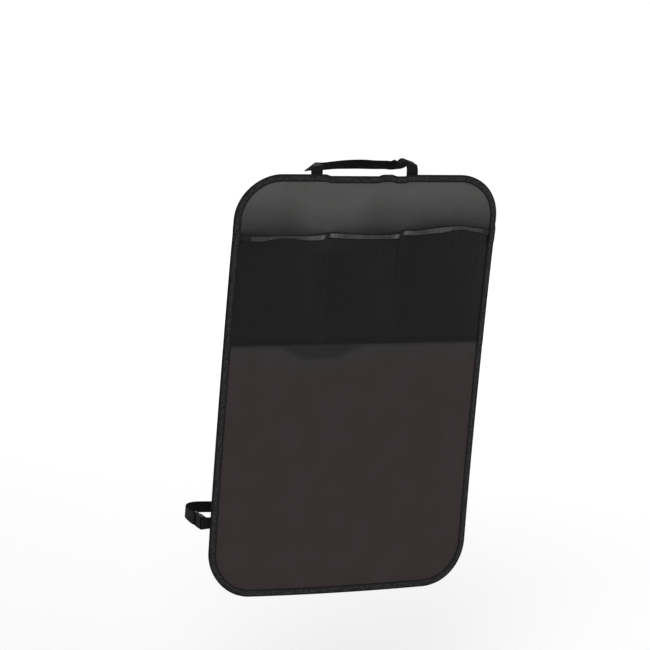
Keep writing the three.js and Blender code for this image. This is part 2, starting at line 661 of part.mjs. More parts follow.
// Outline of a plate that narrows from one end to the other, with rounded corners
function plateOutline(from, to, halfFrom, halfTo) {
  const r = BUCKLE_ROUNDING;
  return [
    ...arc(to - r, halfTo - r, r, 0, 90, 3),
    ...arc(from + r, halfFrom - r, r, 90, 180, 3),
    ...arc(from + r, r - halfFrom, r, 180, 270, 3),
    ...arc(to - r, r - halfTo, r, 270, 360, 3),
  ];
}

// The slot that a web passes through, right through a moulding
function webSlot(from) {
  const half = LOWER_WEB_WIDTH / 2 + WEB_SIDE_GAP;
  return box([from, -half, -SOCKET_THICKNESS], [from + WEB_SLOT, half, SOCKET_THICKNESS]);
}

// Thins a bar from both faces, so that the web lies flush over it
function barRelief(from, to) {
  const half = LOWER_WEB_WIDTH / 2 + WEB_SIDE_GAP;
  const bar = BAR_THICKNESS / 2;
  return box([from, -half, bar], [to, half, SOCKET_THICKNESS]).add(
    box([from, -half, -SOCKET_THICKNESS], [to, half, -bar]),
  );
}

// Female half of the side-release buckle
function buckleSocket() {
  const body = moulding(
    plateOutline(0, SOCKET_LENGTH, BUCKLE_END_HALF, BUCKLE_MIDDLE_HALF),
    SOCKET_THICKNESS,
    BUCKLE_SOFTENING,
  );
  const height = SOCKET_THICKNESS / 2 - SOCKET_WALL;
  const cavity = box([CAVITY_START, -CAVITY_HALF, -height], [SOCKET_LENGTH + 1, CAVITY_HALF, height]);
  const beyond = BUCKLE_MIDDLE_HALF + 1;
  const windows = box([WINDOW_END - WINDOW_LENGTH, -beyond, -height], [WINDOW_END, beyond, height]);
  return geometryOfSolid(
    body
      .subtract(cavity)
      .subtract(windows)
      .subtract(webSlot(BAR_LENGTH))
      .subtract(barRelief(-1, BAR_LENGTH)),
  );
}

// Male half: a threaded base, two sprung prongs with barbs, and a guide between them
function bucklePlug() {
  const base = moulding(
    plateOutline(PLUG_START, PLUG_START + PLUG_BASE_LENGTH, BUCKLE_MIDDLE_HALF, BUCKLE_END_HALF),
    PLUG_BASE_THICKNESS,
    BUCKLE_SOFTENING,
  );
  const firstSlot = PLUG_START + BAR_LENGTH;
  const secondSlot = firstSlot + WEB_SLOT + BAR_LENGTH;
  const thickness = SOCKET_THICKNESS - 2 * SOCKET_WALL - 2 * MOULD_GAP;
  const tip = CAVITY_START + PRONG_TIP;
  const root = PLUG_START + 2;
  const barb = WINDOW_END - MOULD_GAP;
  const outside = CAVITY_HALF - PRONG_INSET;
  const inside = outside - PRONG_WIDTH;
  const prong = (side) =>
    moulding(
      [
        [root, inside - 1.5], [tip + 4, inside - 1.2], [tip, inside - 1], [tip, inside + 1],
        [barb - BARB_LENGTH, outside + BARB_STEP], [barb, outside + BARB_STEP], [barb, outside],
        [root, outside],
      ].map(([x, y]) => [x, side * y]),
      thickness,
      0,
    );
  const guide = box([tip + 2, -GUIDE_WIDTH / 2, -thickness / 2], [root, GUIDE_WIDTH / 2, thickness / 2]);
  return geometryOfSolid(
    base
      .subtract(webSlot(firstSlot))
      .subtract(webSlot(secondSlot))
      .subtract(barRelief(firstSlot, secondSlot))
      .add(prong(1))
      .add(prong(-1))
      .add(guide),
  );
}

const panelCloth = new THREE.MeshStandardMaterial({ color: 0x3b3638, roughness: 0.72, metalness: 0 });
const tapeCloth = new THREE.MeshStandardMaterial({ color: 0x1f1e22, roughness: 0.6, metalness: 0 });
const netCloth = new THREE.MeshStandardMaterial({ color: 0x1b1b1c, roughness: 0.65, metalness: 0 });
const hemCloth = new THREE.MeshStandardMaterial({ color: 0x38373a, roughness: 0.5, metalness: 0 });
const webCloth = new THREE.MeshStandardMaterial({ color: 0x131314, roughness: 0.7, metalness: 0 });
const plastic = new THREE.MeshStandardMaterial({ color: 0x0e0e10, roughness: 0.38, metalness: 0 });

function named(name, geometry, material) {
  const mesh = new THREE.Mesh(geometry, material);
  mesh.name = name;
  return mesh;
}

const kickMat = new THREE.Group();
kickMat.add(
  named("back_panel", backPanel(), panelCloth),
  named("edge_tape", edgeTape(), tapeCloth),
  named("pocket_net", pocketNet(), netCloth),
  named("pocket_hem", pocketHem(), hemCloth),
  named("headrest_strap", headrestStrap(), webCloth),
  named("socket_tab", socketTab(), webCloth),
  named("lower_strap", lowerStrap(), webCloth),
);

// The buckle's length runs back along the loop and its width along Z
const buckle = new THREE.Group();
buckle.add(named("buckle_socket", buckleSocket(), plastic), named("buckle_plug", bucklePlug(), plastic));
buckle.matrixAutoUpdate = false;
buckle.matrix.makeBasis(
  new THREE.Vector3(...alongBuckle, 0),
  new THREE.Vector3(0, 0, 1),
  new THREE.Vector3(...outOfBuckle, 0).negate(),
);
buckle.matrix.setPosition(...bucklePlace, LOWER_STRAP_Z);
kickMat.add(buckle);

export default kickMat;
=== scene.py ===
# Car seat kick mat with three net pockets, as it hangs on the back of a front seat.
# Lengths in the script are millimetres, and each mesh is scaled to metres as it is made.
import math

import bmesh
import bpy
import numpy as np
from mathutils import Matrix, Vector


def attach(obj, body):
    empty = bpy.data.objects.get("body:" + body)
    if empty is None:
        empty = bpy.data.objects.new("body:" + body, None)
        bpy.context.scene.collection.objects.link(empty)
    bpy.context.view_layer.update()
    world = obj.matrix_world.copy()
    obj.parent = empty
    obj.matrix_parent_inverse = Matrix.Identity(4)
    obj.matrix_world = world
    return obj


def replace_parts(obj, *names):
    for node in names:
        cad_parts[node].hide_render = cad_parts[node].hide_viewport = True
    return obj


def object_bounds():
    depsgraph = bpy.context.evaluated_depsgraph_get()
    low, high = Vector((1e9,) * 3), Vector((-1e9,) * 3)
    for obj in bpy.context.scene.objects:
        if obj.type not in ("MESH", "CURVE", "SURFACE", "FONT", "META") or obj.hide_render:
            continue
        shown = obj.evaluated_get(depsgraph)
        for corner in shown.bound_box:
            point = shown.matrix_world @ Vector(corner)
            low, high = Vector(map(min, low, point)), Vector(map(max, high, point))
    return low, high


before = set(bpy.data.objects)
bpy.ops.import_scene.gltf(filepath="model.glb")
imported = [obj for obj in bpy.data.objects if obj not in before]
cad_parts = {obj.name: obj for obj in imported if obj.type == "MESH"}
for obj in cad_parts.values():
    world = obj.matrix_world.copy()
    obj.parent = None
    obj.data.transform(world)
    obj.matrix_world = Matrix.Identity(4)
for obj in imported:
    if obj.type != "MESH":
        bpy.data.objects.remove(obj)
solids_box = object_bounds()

METRE = 0.001

# Sizes of the mat and its layers, as the solids have them
MAT_WIDTH = 460
MAT_HEIGHT = 700
CORNER_RADIUS = 75
PANEL_THICKNESS = 1.2
SEAT_HOLLOW = 8
HOLLOW_FLAT_HALF = 50
EDGE_ROLL = 4
EDGE_ROLL_WIDTH = 40
FOOT_BELLY = 4.7
EDGE_SHAPE_HEIGHT = 110
SEWN_GAP = 0.3
TAPE_THICKNESS = 0.7
TAPE_WIDTH = 12
NET_THICKNESS = 0.6
HEM_THICKNESS = 0.8
HEM_HEIGHT = 10
POCKET_FOOT = 281
DIVIDERS_X = (-68, 61)
DIVIDER_WIDTH = 6
POCKET_DEPTH = 17
NET_FOOT_FOLD = 7
NET_UNDER_TAPE = 8
TAPE_STEP = 6
LAYER_MARGIN = 1.5
HEM_LINE = [
    (-230, 98), (-190, 97.2), (-147, 96.4), (-112, 96.4), (-77, 96.1), (-64, 94.4), (-40, 93.4),
    (-5, 94.4), (22, 95.3), (45, 95.4), (57, 94.2), (66, 90.6), (83, 89.5), (105, 84.8),
    (126, 82), (148, 80.4), (164, 81.2), (180, 83.9), (198, 86.1), (230, 95),
]
HEADREST_WEB_WIDTH = 20
LOWER_WEB_WIDTH = 19
WEB_THICKNESS = 1.2
HEADREST_WEB_GAP = 0.45
LOWER_WEB_GAP = 0.6
HEADREST_LEFT_X = -96.5
HEADREST_RIGHT_X = 69.5
HEADREST_SEWN = 30
STRAP_BACK_Y = 58
STRAP_RISE = 16
LOWER_STRAP_DROP = 576.7
SEAT_DEPTH = 92
SEAT_CORNER = 34
LOOP_RIGHT_OUT = 13
LOOP_RIGHT_LEAN = 15
LOWER_STRAP_SAG = 6
LOWER_SEWN = 30
LOWER_FREE = 8
TAB_RUN_OUT = 0.5
BUCKLE_OUT = 10.2
BUCKLE_Y = 3
BUCKLE_TURN = 7
SOCKET_LENGTH = 20
BAR_LENGTH = 2.4
BAR_THICKNESS = 2.4
WEB_SLOT = 2.8
MOULD_GAP = 0.35
PLUG_BASE_LENGTH = 13.5
PLUG_BASE_THICKNESS = 5.6
TAIL_LENGTH = 9

HALF_WIDTH = MAT_WIDTH / 2
HALF_HEIGHT = MAT_HEIGHT / 2
PANEL_INSET = TAPE_THICKNESS + SEWN_GAP
NET_BACK = -(PANEL_THICKNESS + SEWN_GAP)
TAPE_INNER_X = HALF_WIDTH - TAPE_WIDTH
NET_SIDE_X = TAPE_INNER_X + NET_UNDER_TAPE
HEM_LIFT = HEM_THICKNESS + SEWN_GAP
NET_FOOT_Z = HALF_HEIGHT - POCKET_FOOT
LOWER_STRAP_Z = HALF_HEIGHT - LOWER_STRAP_DROP
PLUG_START = SOCKET_LENGTH + MOULD_GAP
PLUG_END = PLUG_START + PLUG_BASE_LENGTH
TAIL_OUT = PLUG_BASE_THICKNESS / 2 + SEWN_GAP + WEB_THICKNESS / 2
STANDING_OUT = TAIL_OUT + WEB_THICKNESS + SEWN_GAP

# What the looks add
TOP_HOLLOWS = [(-77, 14), (38, 60)]  # stretches of the top edge that hang between the straps
TOP_HOLLOW_DEPTH = 2.6
RIPPLE = 0.7  # how far the cloth waves on the seat
GATHER = 0.45  # small folds of the net below its hem
GATHER_PITCH = 13
NET_PITCH = 3.2  # from one hole of the net to the next
NET_STRAND = 0.95
TAPE_BULGE = 0.35
TAPE_PUCKER = 0.3
HEM_BULGE = 0.9
HEM_STANDS_OUT = 1.6  # where the band rolls, its lower edge stands off the net by up to this
# Height that the band shows along its length: x, height
HEM_SHOWN = [
    (-230, 10), (-200, 11.7), (-183, 11), (-168, 6.4), (-154, 4.4), (-138, 4.6), (-124, 7.4),
    (-106, 10), (-84, 11.2), (-66, 10.1), (-40, 11.3), (-5, 9.5), (22, 8.8), (57, 10.9),
    (66, 10), (83, 10.3), (105, 12), (126, 12.3), (148, 9.3), (164, 7.4), (180, 8.7),
    (198, 9.8), (230, 10),
]
STITCH_PITCH = 3.6
STITCH_LENGTH = 2.7
BOX_PITCH = 2.6
BOX_LENGTH = 2.1
THREAD_RADIUS = 0.24


def steps(start, end, count):
    return np.linspace(start, end, count + 1)


def ramp(value, start, end):
    """Smooth step from 0 at start to 1 at end."""
    t = np.clip((value - start) / (end - start), 0, 1)
    return t * t * (3 - 2 * t)


def curve(points, shares):
    """Points at shares from 0 to 1 of a centripetal Catmull-Rom curve through the points."""
    points = np.asarray(points, float)
    padded = np.vstack([2 * points[0] - points[1], points, 2 * points[-1] - points[-2]])
    reach = np.asarray(shares, float) * (len(points) - 1)
    first = np.minimum(reach.astype(int), len(points) - 2)
    t = (reach - first)[:, None]
    p0, p1, p2, p3 = (padded[first + k] for k in range(4))
    d0, d1, d2 = (
        np.sqrt(np.linalg.norm(b - a, axis=1))[:, None] for a, b in ((p0, p1), (p1, p2), (p2, p3))
    )
    d1 = np.where(d1 < 1e-4, 1, d1)
    d0 = np.where(d0 < 1e-4, d1, d0)
    d2 = np.where(d2 < 1e-4, d1, d2)
    m1 = ((p1 - p0) / d0 - (p2 - p0) / (d0 + d1) + (p2 - p1) / d1) * d1
    m2 = ((p2 - p1) / d1 - (p3 - p1) / (d1 + d2) + (p3 - p2) / d2) * d1
    return (
        p1 + m1 * t + (3 * (p2 - p1) - 2 * m1 - m2) * t**2 + (2 * (p1 - p2) + m1 + m2) * t**3
    )


def seat_surface(x, z):
    """How far the mat's back face stands from the plane y = 0, ripples included."""
    beyond = np.maximum(0, np.abs(z) - HOLLOW_FLAT_HALF)
    bow = -SEAT_HOLLOW * (beyond / (HALF_HEIGHT - HOLLOW_FLAT_HALF)) ** 2
    edge = np.maximum(0, np.abs(x) - (HALF_WIDTH - EDGE_ROLL_WIDTH)) / EDGE_ROLL_WIDTH
    inside = np.minimum(HALF_WIDTH - np.abs(x), HALF_HEIGHT - np.abs(z))
    wave = np.sin(x / 41 + 0.9 * np.sin(z / 67)) * np.cos(z / 59 + 0.7 * np.sin(x / 83))
    fine = 0.4 * np.sin(x / 19 + z / 37) * np.sin(z / 23 - x / 71)
    return bow + EDGE_ROLL * edge**2 + RIPPLE * ramp(inside, 34, 95) * (wave + fine)


def shaped_height(x, z):
    """Height of a point of the flat pattern once the belly and the sag are in."""
    belly = FOOT_BELLY * (1 - (x / HALF_WIDTH) ** 2)
    down = ramp(-z, HALF_HEIGHT - EDGE_SHAPE_HEIGHT, HALF_HEIGHT)
    hollows = sum(ramp(x, a - 5, a + 5) * ramp(-x, -b - 5, 5 - b) for a, b in TOP_HOLLOWS)
    sag = TOP_HOLLOW_DEPTH * hollows
    up = ramp(z, HALF_HEIGHT - 0.5 * EDGE_SHAPE_HEIGHT, HALF_HEIGHT)
    return z - belly * down - sag * up


def place(x, z, offset):
    """Points of the flat pattern, set off from the mat's back face, in place on the seat."""
    x, z, offset = np.broadcast_arrays(np.asarray(x, float), z, offset)
    return np.stack([x, seat_surface(x, z) + offset, shaped_height(x, z)], axis=-1)


hem_points = curve([(x, HALF_HEIGHT - drop) for x, drop in HEM_LINE], steps(0, 1, 1200))
hem_shown = curve(HEM_SHOWN, steps(0, 1, 1200))


def hem_height(x):
    return np.interp(x, hem_points[:, 0], hem_points[:, 1])


def net_top(x):
    return hem_height(x) - HEM_THICKNESS - SEWN_GAP


NET_HEIGHT = float(net_top(0)) - NET_FOOT_Z
HEM_FOOT_RISE = 1 - (HEM_HEIGHT - HEM_THICKNESS) / NET_HEIGHT
POCKETS = [
    (-TAPE_INNER_X, DIVIDERS_X[0] - DIVIDER_WIDTH / 2),
    (DIVIDERS_X[0] + DIVIDER_WIDTH / 2, DIVIDERS_X[1] - DIVIDER_WIDTH / 2),
    (DIVIDERS_X[1] + DIVIDER_WIDTH / 2, TAPE_INNER_X),
]


def net_lift(x, rise):
    """How far the net stands off the panel. rise is 0 at the net's foot and 1 at its top."""
    across = sum(
        np.sin(np.pi * np.clip((x - start) / (end - start), 0, 1)) ** 0.8 for start, end in POCKETS
    )
    across = np.nan_to_num(across)
    up = np.sin(np.pi / 2 * np.clip(rise / 0.7, 0, 1)) * (1 - 0.2 * ramp(rise, 0.7, 1))
    hem = HEM_LIFT * np.clip((rise - HEM_FOOT_RISE) / (1 - HEM_FOOT_RISE), 0, 1)
    gathers = GATHER * np.sin(2 * np.pi * x / GATHER_PITCH + 1.3 * np.sin(x / 31))
    folds = gathers * ramp(rise, 0.5, 0.95) * np.clip(3 * across, 0, 1)
    return hem + POCKET_DEPTH * across * up + folds


# Meshes
def finished(name, mesh, material, smooth_angle=50):
    """A new piece of the mat from a mesh, with outward faces and smooth shading."""
    work = bmesh.new()
    work.from_mesh(mesh)
    bmesh.ops.recalc_face_normals(work, faces=work.faces)
    work.to_mesh(mesh)
    work.free()
    mesh.shade_smooth()
    mesh.set_sharp_from_angle(angle=math.radians(smooth_angle))
    mesh.materials.append(material)
    piece = bpy.data.objects.new(name, mesh)
    bpy.context.scene.collection.objects.link(piece)
    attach(piece, "root")
    return piece


def strip(name, outer, inner, along, across, material, closed=False):
    """A closed sheet between two grids of points, one ring of its section per station.

    along and across are the flat lengths for its UV map, one more along where it is closed.
    """
    stations, width = outer.shape[:2]
    rings = np.concatenate([outer, inner[:, ::-1]], axis=1)
    count = 2 * width
    spans = stations if closed else stations - 1
    i, j = (part.ravel() for part in np.meshgrid(np.arange(spans), np.arange(count), indexing="ij"))
    corners_i = np.stack([i, i + 1, i + 1, i], axis=1)
    corners_j = np.stack([j, j, (j + 1) % count, (j + 1) % count], axis=1)
    round_across = np.concatenate([across, across[::-1]])
    faces = (corners_i % stations) * count + corners_j
    uvs = np.stack([np.asarray(along)[corners_i], round_across[corners_j]], axis=-1)
    if not closed:
        k = np.arange(width - 1)
        for station in (0, stations - 1):
            cap_j = np.stack([k, k + 1, count - 2 - k, count - 1 - k], axis=1)
            faces = np.vstack([faces, station * count + cap_j])
            cap_u = np.full(cap_j.shape, along[station])
            uvs = np.vstack([uvs, np.stack([cap_u, round_across[cap_j]], axis=-1)])
    mesh = bpy.data.meshes.new(name)
    mesh.from_pydata((rings.reshape(-1, 3) * METRE).tolist(), [], faces.tolist())
    layer = mesh.uv_layers.new(name="UVMap")
    layer.uv.foreach_set("vector", (uvs.reshape(-1, 2) * METRE).ravel())
    return finished(name, mesh, material)


def lengths(points):
    """Distance along a line of points from its first point."""
    return np.concatenate([[0], np.cumsum(np.linalg.norm(np.diff(points, axis=0), axis=1))])


# Materials
def node(tree, kind, inputs, **settings):
    """A new shader node. Each input is a value or the output that feeds it."""
    made = tree.nodes.new(kind)
    for key, value in settings.items():
        setattr(made, key, value)
    for key, value in inputs.items():
        if isinstance(value, bpy.types.NodeSocket):
            tree.links.new(value, made.inputs[key])
        else:
            made.inputs[key].default_value = value
    return made


def linear(red, green, blue):
    """Scene colour of an sRGB colour in steps of 0 to 255."""
    channels = [value / 255 for value in (red, green, blue)]
    return [c / 12.92 if c <= 0.04045 else ((c + 0.055) / 1.055) ** 2.4 for c in channels] + [1]


def shades(tree, share, stops):
    """Colours blended along a value from 0 to 1. stops are heights and their sRGB colours."""
    made = node(tree, "ShaderNodeValToRGB", {"Fac": share})
    elements = made.color_ramp.elements
    low, high = stops[0][0], stops[-1][0]
    elements[0].color, elements[1].color = linear(*stops[0][1]), linear(*stops[-1][1])
    for height, colour in stops[1:-1]:
        elements.new((height - low) / (high - low)).color = linear(*colour)
    return made.outputs["Color"]


def new_material(name):
    """A material with its tree and its main shader."""
    material = bpy.data.materials.new(name)
    material.use_nodes = True
    return material, material.node_tree, material.node_tree.nodes["Principled BSDF"]


def blended(tree, share, first, second, kind="MIX"):
    mix = node(tree, "ShaderNodeMix", {0: share, 6: first, 7: second}, data_type="RGBA", blend_type=kind)
    return mix.outputs[2]


def sums(tree, operation, first, second):
    return node(tree, "ShaderNodeMath", {0: first, 1: second}, operation=operation).outputs[0]


def between(tree, value, low, high, smooth=True):
    """A value from 0 at low to 1 at high."""
    kind = "SMOOTHSTEP" if smooth else "LINEAR"
    inputs = {"Value": value, "From Min": low, "From Max": high}
    return node(tree, "ShaderNodeMapRange", inputs, interpolation_type=kind).outputs[0]


def bands(tree, where, period, direction, distortion=0.0):
    """Sine bands of one period in millimetres along one axis."""
    inputs = {"Vector": where, "Scale": math.pi / 10 / (period * METRE), "Distortion": distortion}
    made = node(tree, "ShaderNodeTexWave", inputs, wave_type="BANDS", bands_direction=direction)
    return made.outputs["Fac"]


def noise(tree, where, size, detail=2.0, roughness=0.5):
    """Noise whose lumps are about size millimetres."""
    inputs = {"Vector": where, "Scale": 1 / (size * METRE), "Detail": detail, "Roughness": roughness}
    return node(tree, "ShaderNodeTexNoise", inputs).outputs["Fac"]


def raised(tree, height, depth, strength=1.0):
    """A bump whose highest point stands depth millimetres up."""
    inputs = {"Height": height, "Distance": depth * METRE, "Strength": strength}
    return node(tree, "ShaderNodeBump", inputs).outputs["Normal"]


def dimmed(tree, colour, factor):
    return blended(tree, 1.0, colour, (factor, factor, factor, 1), "MULTIPLY")


def fading(tree, axes, fade):
    """A value across a strip, from 0 to 1 between the two distances of fade in millimetres."""
    return between(tree, axes["Y"], fade[0] * METRE, fade[1] * METRE)


def dress(tree, shader, colour, normal, roughness, specular):
    """Colour, relief and gloss of a material's main shader."""
    tree.links.new(colour, shader.inputs["Base Color"])
    tree.links.new(normal, shader.inputs["Normal"])
    shader.inputs["Roughness"].default_value = roughness
    shader.inputs["Specular IOR Level"].default_value = specular


# Colours of the panel: its brown field, the grey strip below the pockets, painted shade behind the net,
# and the grey top lightened by painted light from above
PANEL_FIELD = (57, 49, 50)
PANEL_STRIP = (54, 53, 52)
PANEL_NET_SHADE = (43, 41, 41)
PANEL_TOP_PAINTED_LIGHT = (85, 85, 84)
PANEL_SHADES = [
    (-355, PANEL_FIELD), (30, PANEL_FIELD), (62, PANEL_STRIP), (72, PANEL_NET_SHADE),
    (240, PANEL_NET_SHADE), (318, PANEL_TOP_PAINTED_LIGHT), (352, PANEL_TOP_PAINTED_LIGHT),
]
PANEL_BACK = (54, 52, 52)
PAINTED_LIGHT_X = -62  # painted light: round here the light top shades reach down nearer to the pockets
PAINTED_LIGHT_HALF = 80
PAINTED_LIGHT_DROP = 22
# Greys of the stretch band: its own grey where slack, painted highlight on smooth stretches and brighter
# painted highlight beside the dividers, painted shade in the gathers
BAND_SLACK = (58, 58, 58)
BAND_HIGHLIGHT = (78, 78, 78)
BAND_DIVIDER_HIGHLIGHT = (96, 96, 96)
BAND_GATHER_SHADE = (30, 30, 30)
BAND_HIGHLIGHT_PATCH = 60  # size of the patches of painted highlight along the band
GATHER_ASIDE = -2  # the painted gather shade and the painted highlight sit just beside each divider
GATHER_SHADE_HALF = 4
DIVIDER_HIGHLIGHT_REACH = 24
END_SHADE_FROM = 202  # distance from the mat's middle beyond which the band's ends get painted shade
END_BLEND = 5
# Painted shade lines along the binding and the band: distances across them between which each one fades
TAPE_INNER_SHADE = (3.2, 2.2)
TAPE_OUTER_SHADE = (8.6, 9.6)
HEM_FOLD_SHADOW_STARTS = (8.4, 9.4)
HEM_FOLD_SHADOW_ENDS = (14.0, 13.2)
HEM_EDGE_SHADOW = (20.3, 21.1)


def panel_material():
    """Plain woven cloth, brown below and grey above, with faint slubs; painted shade behind the net, and
    painted light that lightens it towards the top.
    """
    material, tree, shader = new_material("panel_cloth")
    coordinates = node(tree, "ShaderNodeTexCoord", {}).outputs
    where = coordinates["Object"]
    axes = node(tree, "ShaderNodeSeparateXYZ", {"Vector": where}).outputs
    # Painted light: round one place across the mat the light top shades are drawn further down.
    aside = sums(tree, "ABSOLUTE", sums(tree, "SUBTRACT", axes["X"], PAINTED_LIGHT_X * METRE), 0)
    painted_light_share = between(tree, aside, PAINTED_LIGHT_HALF * METRE, 0.3 * PAINTED_LIGHT_HALF * METRE)
    height = sums(tree, "ADD", axes["Z"], sums(tree, "MULTIPLY", painted_light_share, PAINTED_LIGHT_DROP * METRE))
    share = between(tree, height, PANEL_SHADES[0][0] * METRE, PANEL_SHADES[-1][0] * METRE, False)
    facing = node(tree, "ShaderNodeSeparateXYZ", {"Vector": coordinates["Normal"]}).outputs["Y"]
    # Painted light and shade: lighter towards the top, painted shade behind the net.
    colour = shades(tree, share, PANEL_SHADES)
    colour = blended(tree, between(tree, facing, -0.2, 0.2), colour, linear(*PANEL_BACK))
    patches = noise(tree, where, 55, 1.0)
    warmer = blended(tree, 1.0, colour, (1.08, 1.07, 1.09, 1), "MULTIPLY")
    colour = blended(tree, between(tree, patches, 0.42, 0.62), colour, warmer)
    warp = bands(tree, where, 0.9, "X", 0.4)
    weft = bands(tree, where, 0.9, "Z", 0.4)
    weave = sums(tree, "MULTIPLY", warp, weft)
    thread = node(tree, "ShaderNodeMapping", {"Vector": where, "Scale": (1.0, 1.0, 14.0)})
    slub = noise(tree, thread.outputs[0], 22, 3.0)
    grain = sums(tree, "ADD", sums(tree, "MULTIPLY", weave, 0.16), sums(tree, "MULTIPLY", slub, 0.12))
    colour = blended(tree, between(tree, grain, 0.0, 0.28, False), dimmed(tree, colour, 0.72), colour)
    dress(tree, shader, colour, raised(tree, weave, 0.12, 0.7), roughness=0.85, specular=0.12)
    return material


def tape_material():
    """Ribbed binding: short ribs across it in staggered rows, with painted shade lines along both edges.
    """
    material, tree, shader = new_material("edge_tape")
    where = node(tree, "ShaderNodeTexCoord", {}).outputs["UV"]
    axes = node(tree, "ShaderNodeSeparateXYZ", {"Vector": where}).outputs
    ribs = bands(tree, where, 1.5, "X", 0.3)
    rows = bands(tree, where, 2.4, "Y", 0.2)
    weave = sums(tree, "MULTIPLY", ribs, rows)
    worn = between(tree, noise(tree, where, 5, 3.0), 0.36, 0.66)
    base = blended(tree, worn, linear(21, 20, 23), linear(52, 50, 55))
    colour = blended(tree, weave, dimmed(tree, base, 0.62), base)
    # Painted shade: a dark line in the groove by the inner edge and one where the tape turns round the
    # outer edge.
    inner = fading(tree, axes, TAPE_INNER_SHADE)
    outer = fading(tree, axes, TAPE_OUTER_SHADE)
    colour = blended(tree, sums(tree, "MAXIMUM", inner, outer), colour, linear(8, 8, 10))
    dress(tree, shader, colour, raised(tree, weave, 0.22, 0.8), roughness=0.7, specular=0.15)
    return material


def hem_material():
    """Stretch band with very fine ribs, with painted highlights, painted shade in its gathers and at its
    ends, and painted shadow lines at its fold and its lower edge.
    """
    material, tree, shader = new_material("hem_tape")
    coordinates = node(tree, "ShaderNodeTexCoord", {}).outputs
    where = coordinates["UV"]
    ribs = bands(tree, where, 1.1, "X", 0.3)
    axes = node(tree, "ShaderNodeSeparateXYZ", {"Vector": where}).outputs
    along = node(tree, "ShaderNodeCombineXYZ", {"X": axes["X"]}).outputs[0]
    across_mat = node(tree, "ShaderNodeSeparateXYZ", {"Vector": coordinates["Object"]}).outputs["X"]
    seams = [(divider + GATHER_ASIDE) * METRE for divider in DIVIDERS_X]
    apart = [sums(tree, "ABSOLUTE", sums(tree, "SUBTRACT", across_mat, seam), 0) for seam in seams]
    apart = sums(tree, "MINIMUM", *apart)
    outwards = sums(tree, "ABSOLUTE", across_mat, 0)
    # Painted highlight beside each divider, painted shade in the gathers there and at the band's ends.
    divider_highlight = between(tree, apart, DIVIDER_HIGHLIGHT_REACH * METRE, GATHER_SHADE_HALF * METRE)
    gather_shade = between(tree, apart, 1.8 * GATHER_SHADE_HALF * METRE, 0.6 * GATHER_SHADE_HALF * METRE)
    ends = between(tree, outwards, (END_SHADE_FROM - END_BLEND) * METRE, (END_SHADE_FROM + END_BLEND) * METRE)
    # Painted highlight in patches along the band, over its own grey.
    smooth = between(tree, noise(tree, coordinates["Object"], BAND_HIGHLIGHT_PATCH, 1.0), 0.4, 0.6)
    base = blended(tree, smooth, linear(*BAND_SLACK), linear(*BAND_HIGHLIGHT))
    base = blended(tree, divider_highlight, base, linear(*BAND_DIVIDER_HIGHLIGHT))
    base = blended(tree, sums(tree, "MAXIMUM", gather_shade, ends), base, linear(*BAND_GATHER_SHADE))
    streaks = between(tree, noise(tree, along, 5, 2.0), 0.36, 0.64)
    base = blended(tree, streaks, dimmed(tree, base, 0.72), base)
    colour = blended(tree, ribs, dimmed(tree, base, 0.85), base)
    # Painted shadow lines at the band's fold and along its lower edge.
    fold = sums(tree, "MINIMUM", fading(tree, axes, HEM_FOLD_SHADOW_STARTS), fading(tree, axes, HEM_FOLD_SHADOW_ENDS))
    edge = fading(tree, axes, HEM_EDGE_SHADOW)
    colour = blended(tree, sums(tree, "MAXIMUM", fold, edge), colour, linear(12, 12, 12))
    dress(tree, shader, colour, raised(tree, ribs, 0.08, 0.6), roughness=0.5, specular=0.1)
    return material


def web_material():
    """Black webbing woven in fine chevrons."""
    material, tree, shader = new_material("webbing")
    where = node(tree, "ShaderNodeTexCoord", {}).outputs["UV"]
    axes = node(tree, "ShaderNodeSeparateXYZ", {"Vector": where}).outputs
    zigzag = sums(tree, "PINGPONG", axes["Y"], 2.4 * METRE)
    slanted = sums(tree, "ADD", axes["X"], zigzag)
    lines = node(tree, "ShaderNodeCombineXYZ", {"X": slanted, "Y": axes["Y"]}).outputs[0]
    ribs = bands(tree, lines, 1.3, "X")
    cords = bands(tree, where, 1.2, "Y")
    weave = sums(tree, "ADD", sums(tree, "MULTIPLY", ribs, 0.6), sums(tree, "MULTIPLY", cords, 0.4))
    base = blended(tree, noise(tree, where, 12, 3.0), linear(10, 10, 11), linear(17, 17, 18))
    colour = blended(tree, weave, dimmed(tree, base, 0.5), base)
    dress(tree, shader, colour, raised(tree, weave, 0.25, 0.8), roughness=0.8, specular=0.12)
    return material


def plain_material(name, dark, light, lump, roughness, specular, grain):
    """One colour with a slight change from place to place and a fine grain."""
    material, tree, shader = new_material(name)
    where = node(tree, "ShaderNodeTexCoord", {}).outputs["Object"]
    colour = blended(tree, noise(tree, where, lump, 3.0), linear(*dark), linear(*light))
    relief = raised(tree, noise(tree, where, 0.6, 2.0), grain, 0.6)
    dress(tree, shader, colour, relief, roughness, specular)
    return material


panel_cloth = panel_material()
tape_cloth = tape_material()
hem_cloth = hem_material()
web_cloth = web_material()
net_yarn = plain_material("net", (15, 15, 15), (23, 23, 23), 9, 0.6, 0.15, 0.03)
thread = plain_material("thread", (22, 21, 24), (34, 33, 37), 6, 0.6, 0.2, 0.05)
plastic = plain_material("buckle_plastic", (12, 12, 16), (18, 18, 23), 14, 0.45, 0.04, 0.02)


# Panel
CORNER_STEPS = 24
ROW_SPACING = 5
PANEL_COLUMNS = 96


def corner_rows(inset, sign):
    """Heights and half widths of the rows in the two lower or the two upper corners."""
    angles = steps(0, np.pi / 2, CORNER_STEPS)
    radius = CORNER_RADIUS - inset
    heights = HALF_HEIGHT - CORNER_RADIUS + radius * np.cos(angles)
    halves = HALF_WIDTH - CORNER_RADIUS + radius * np.sin(angles)
    return (heights[::-1] * -1, halves[::-1]) if sign < 0 else (heights, halves)


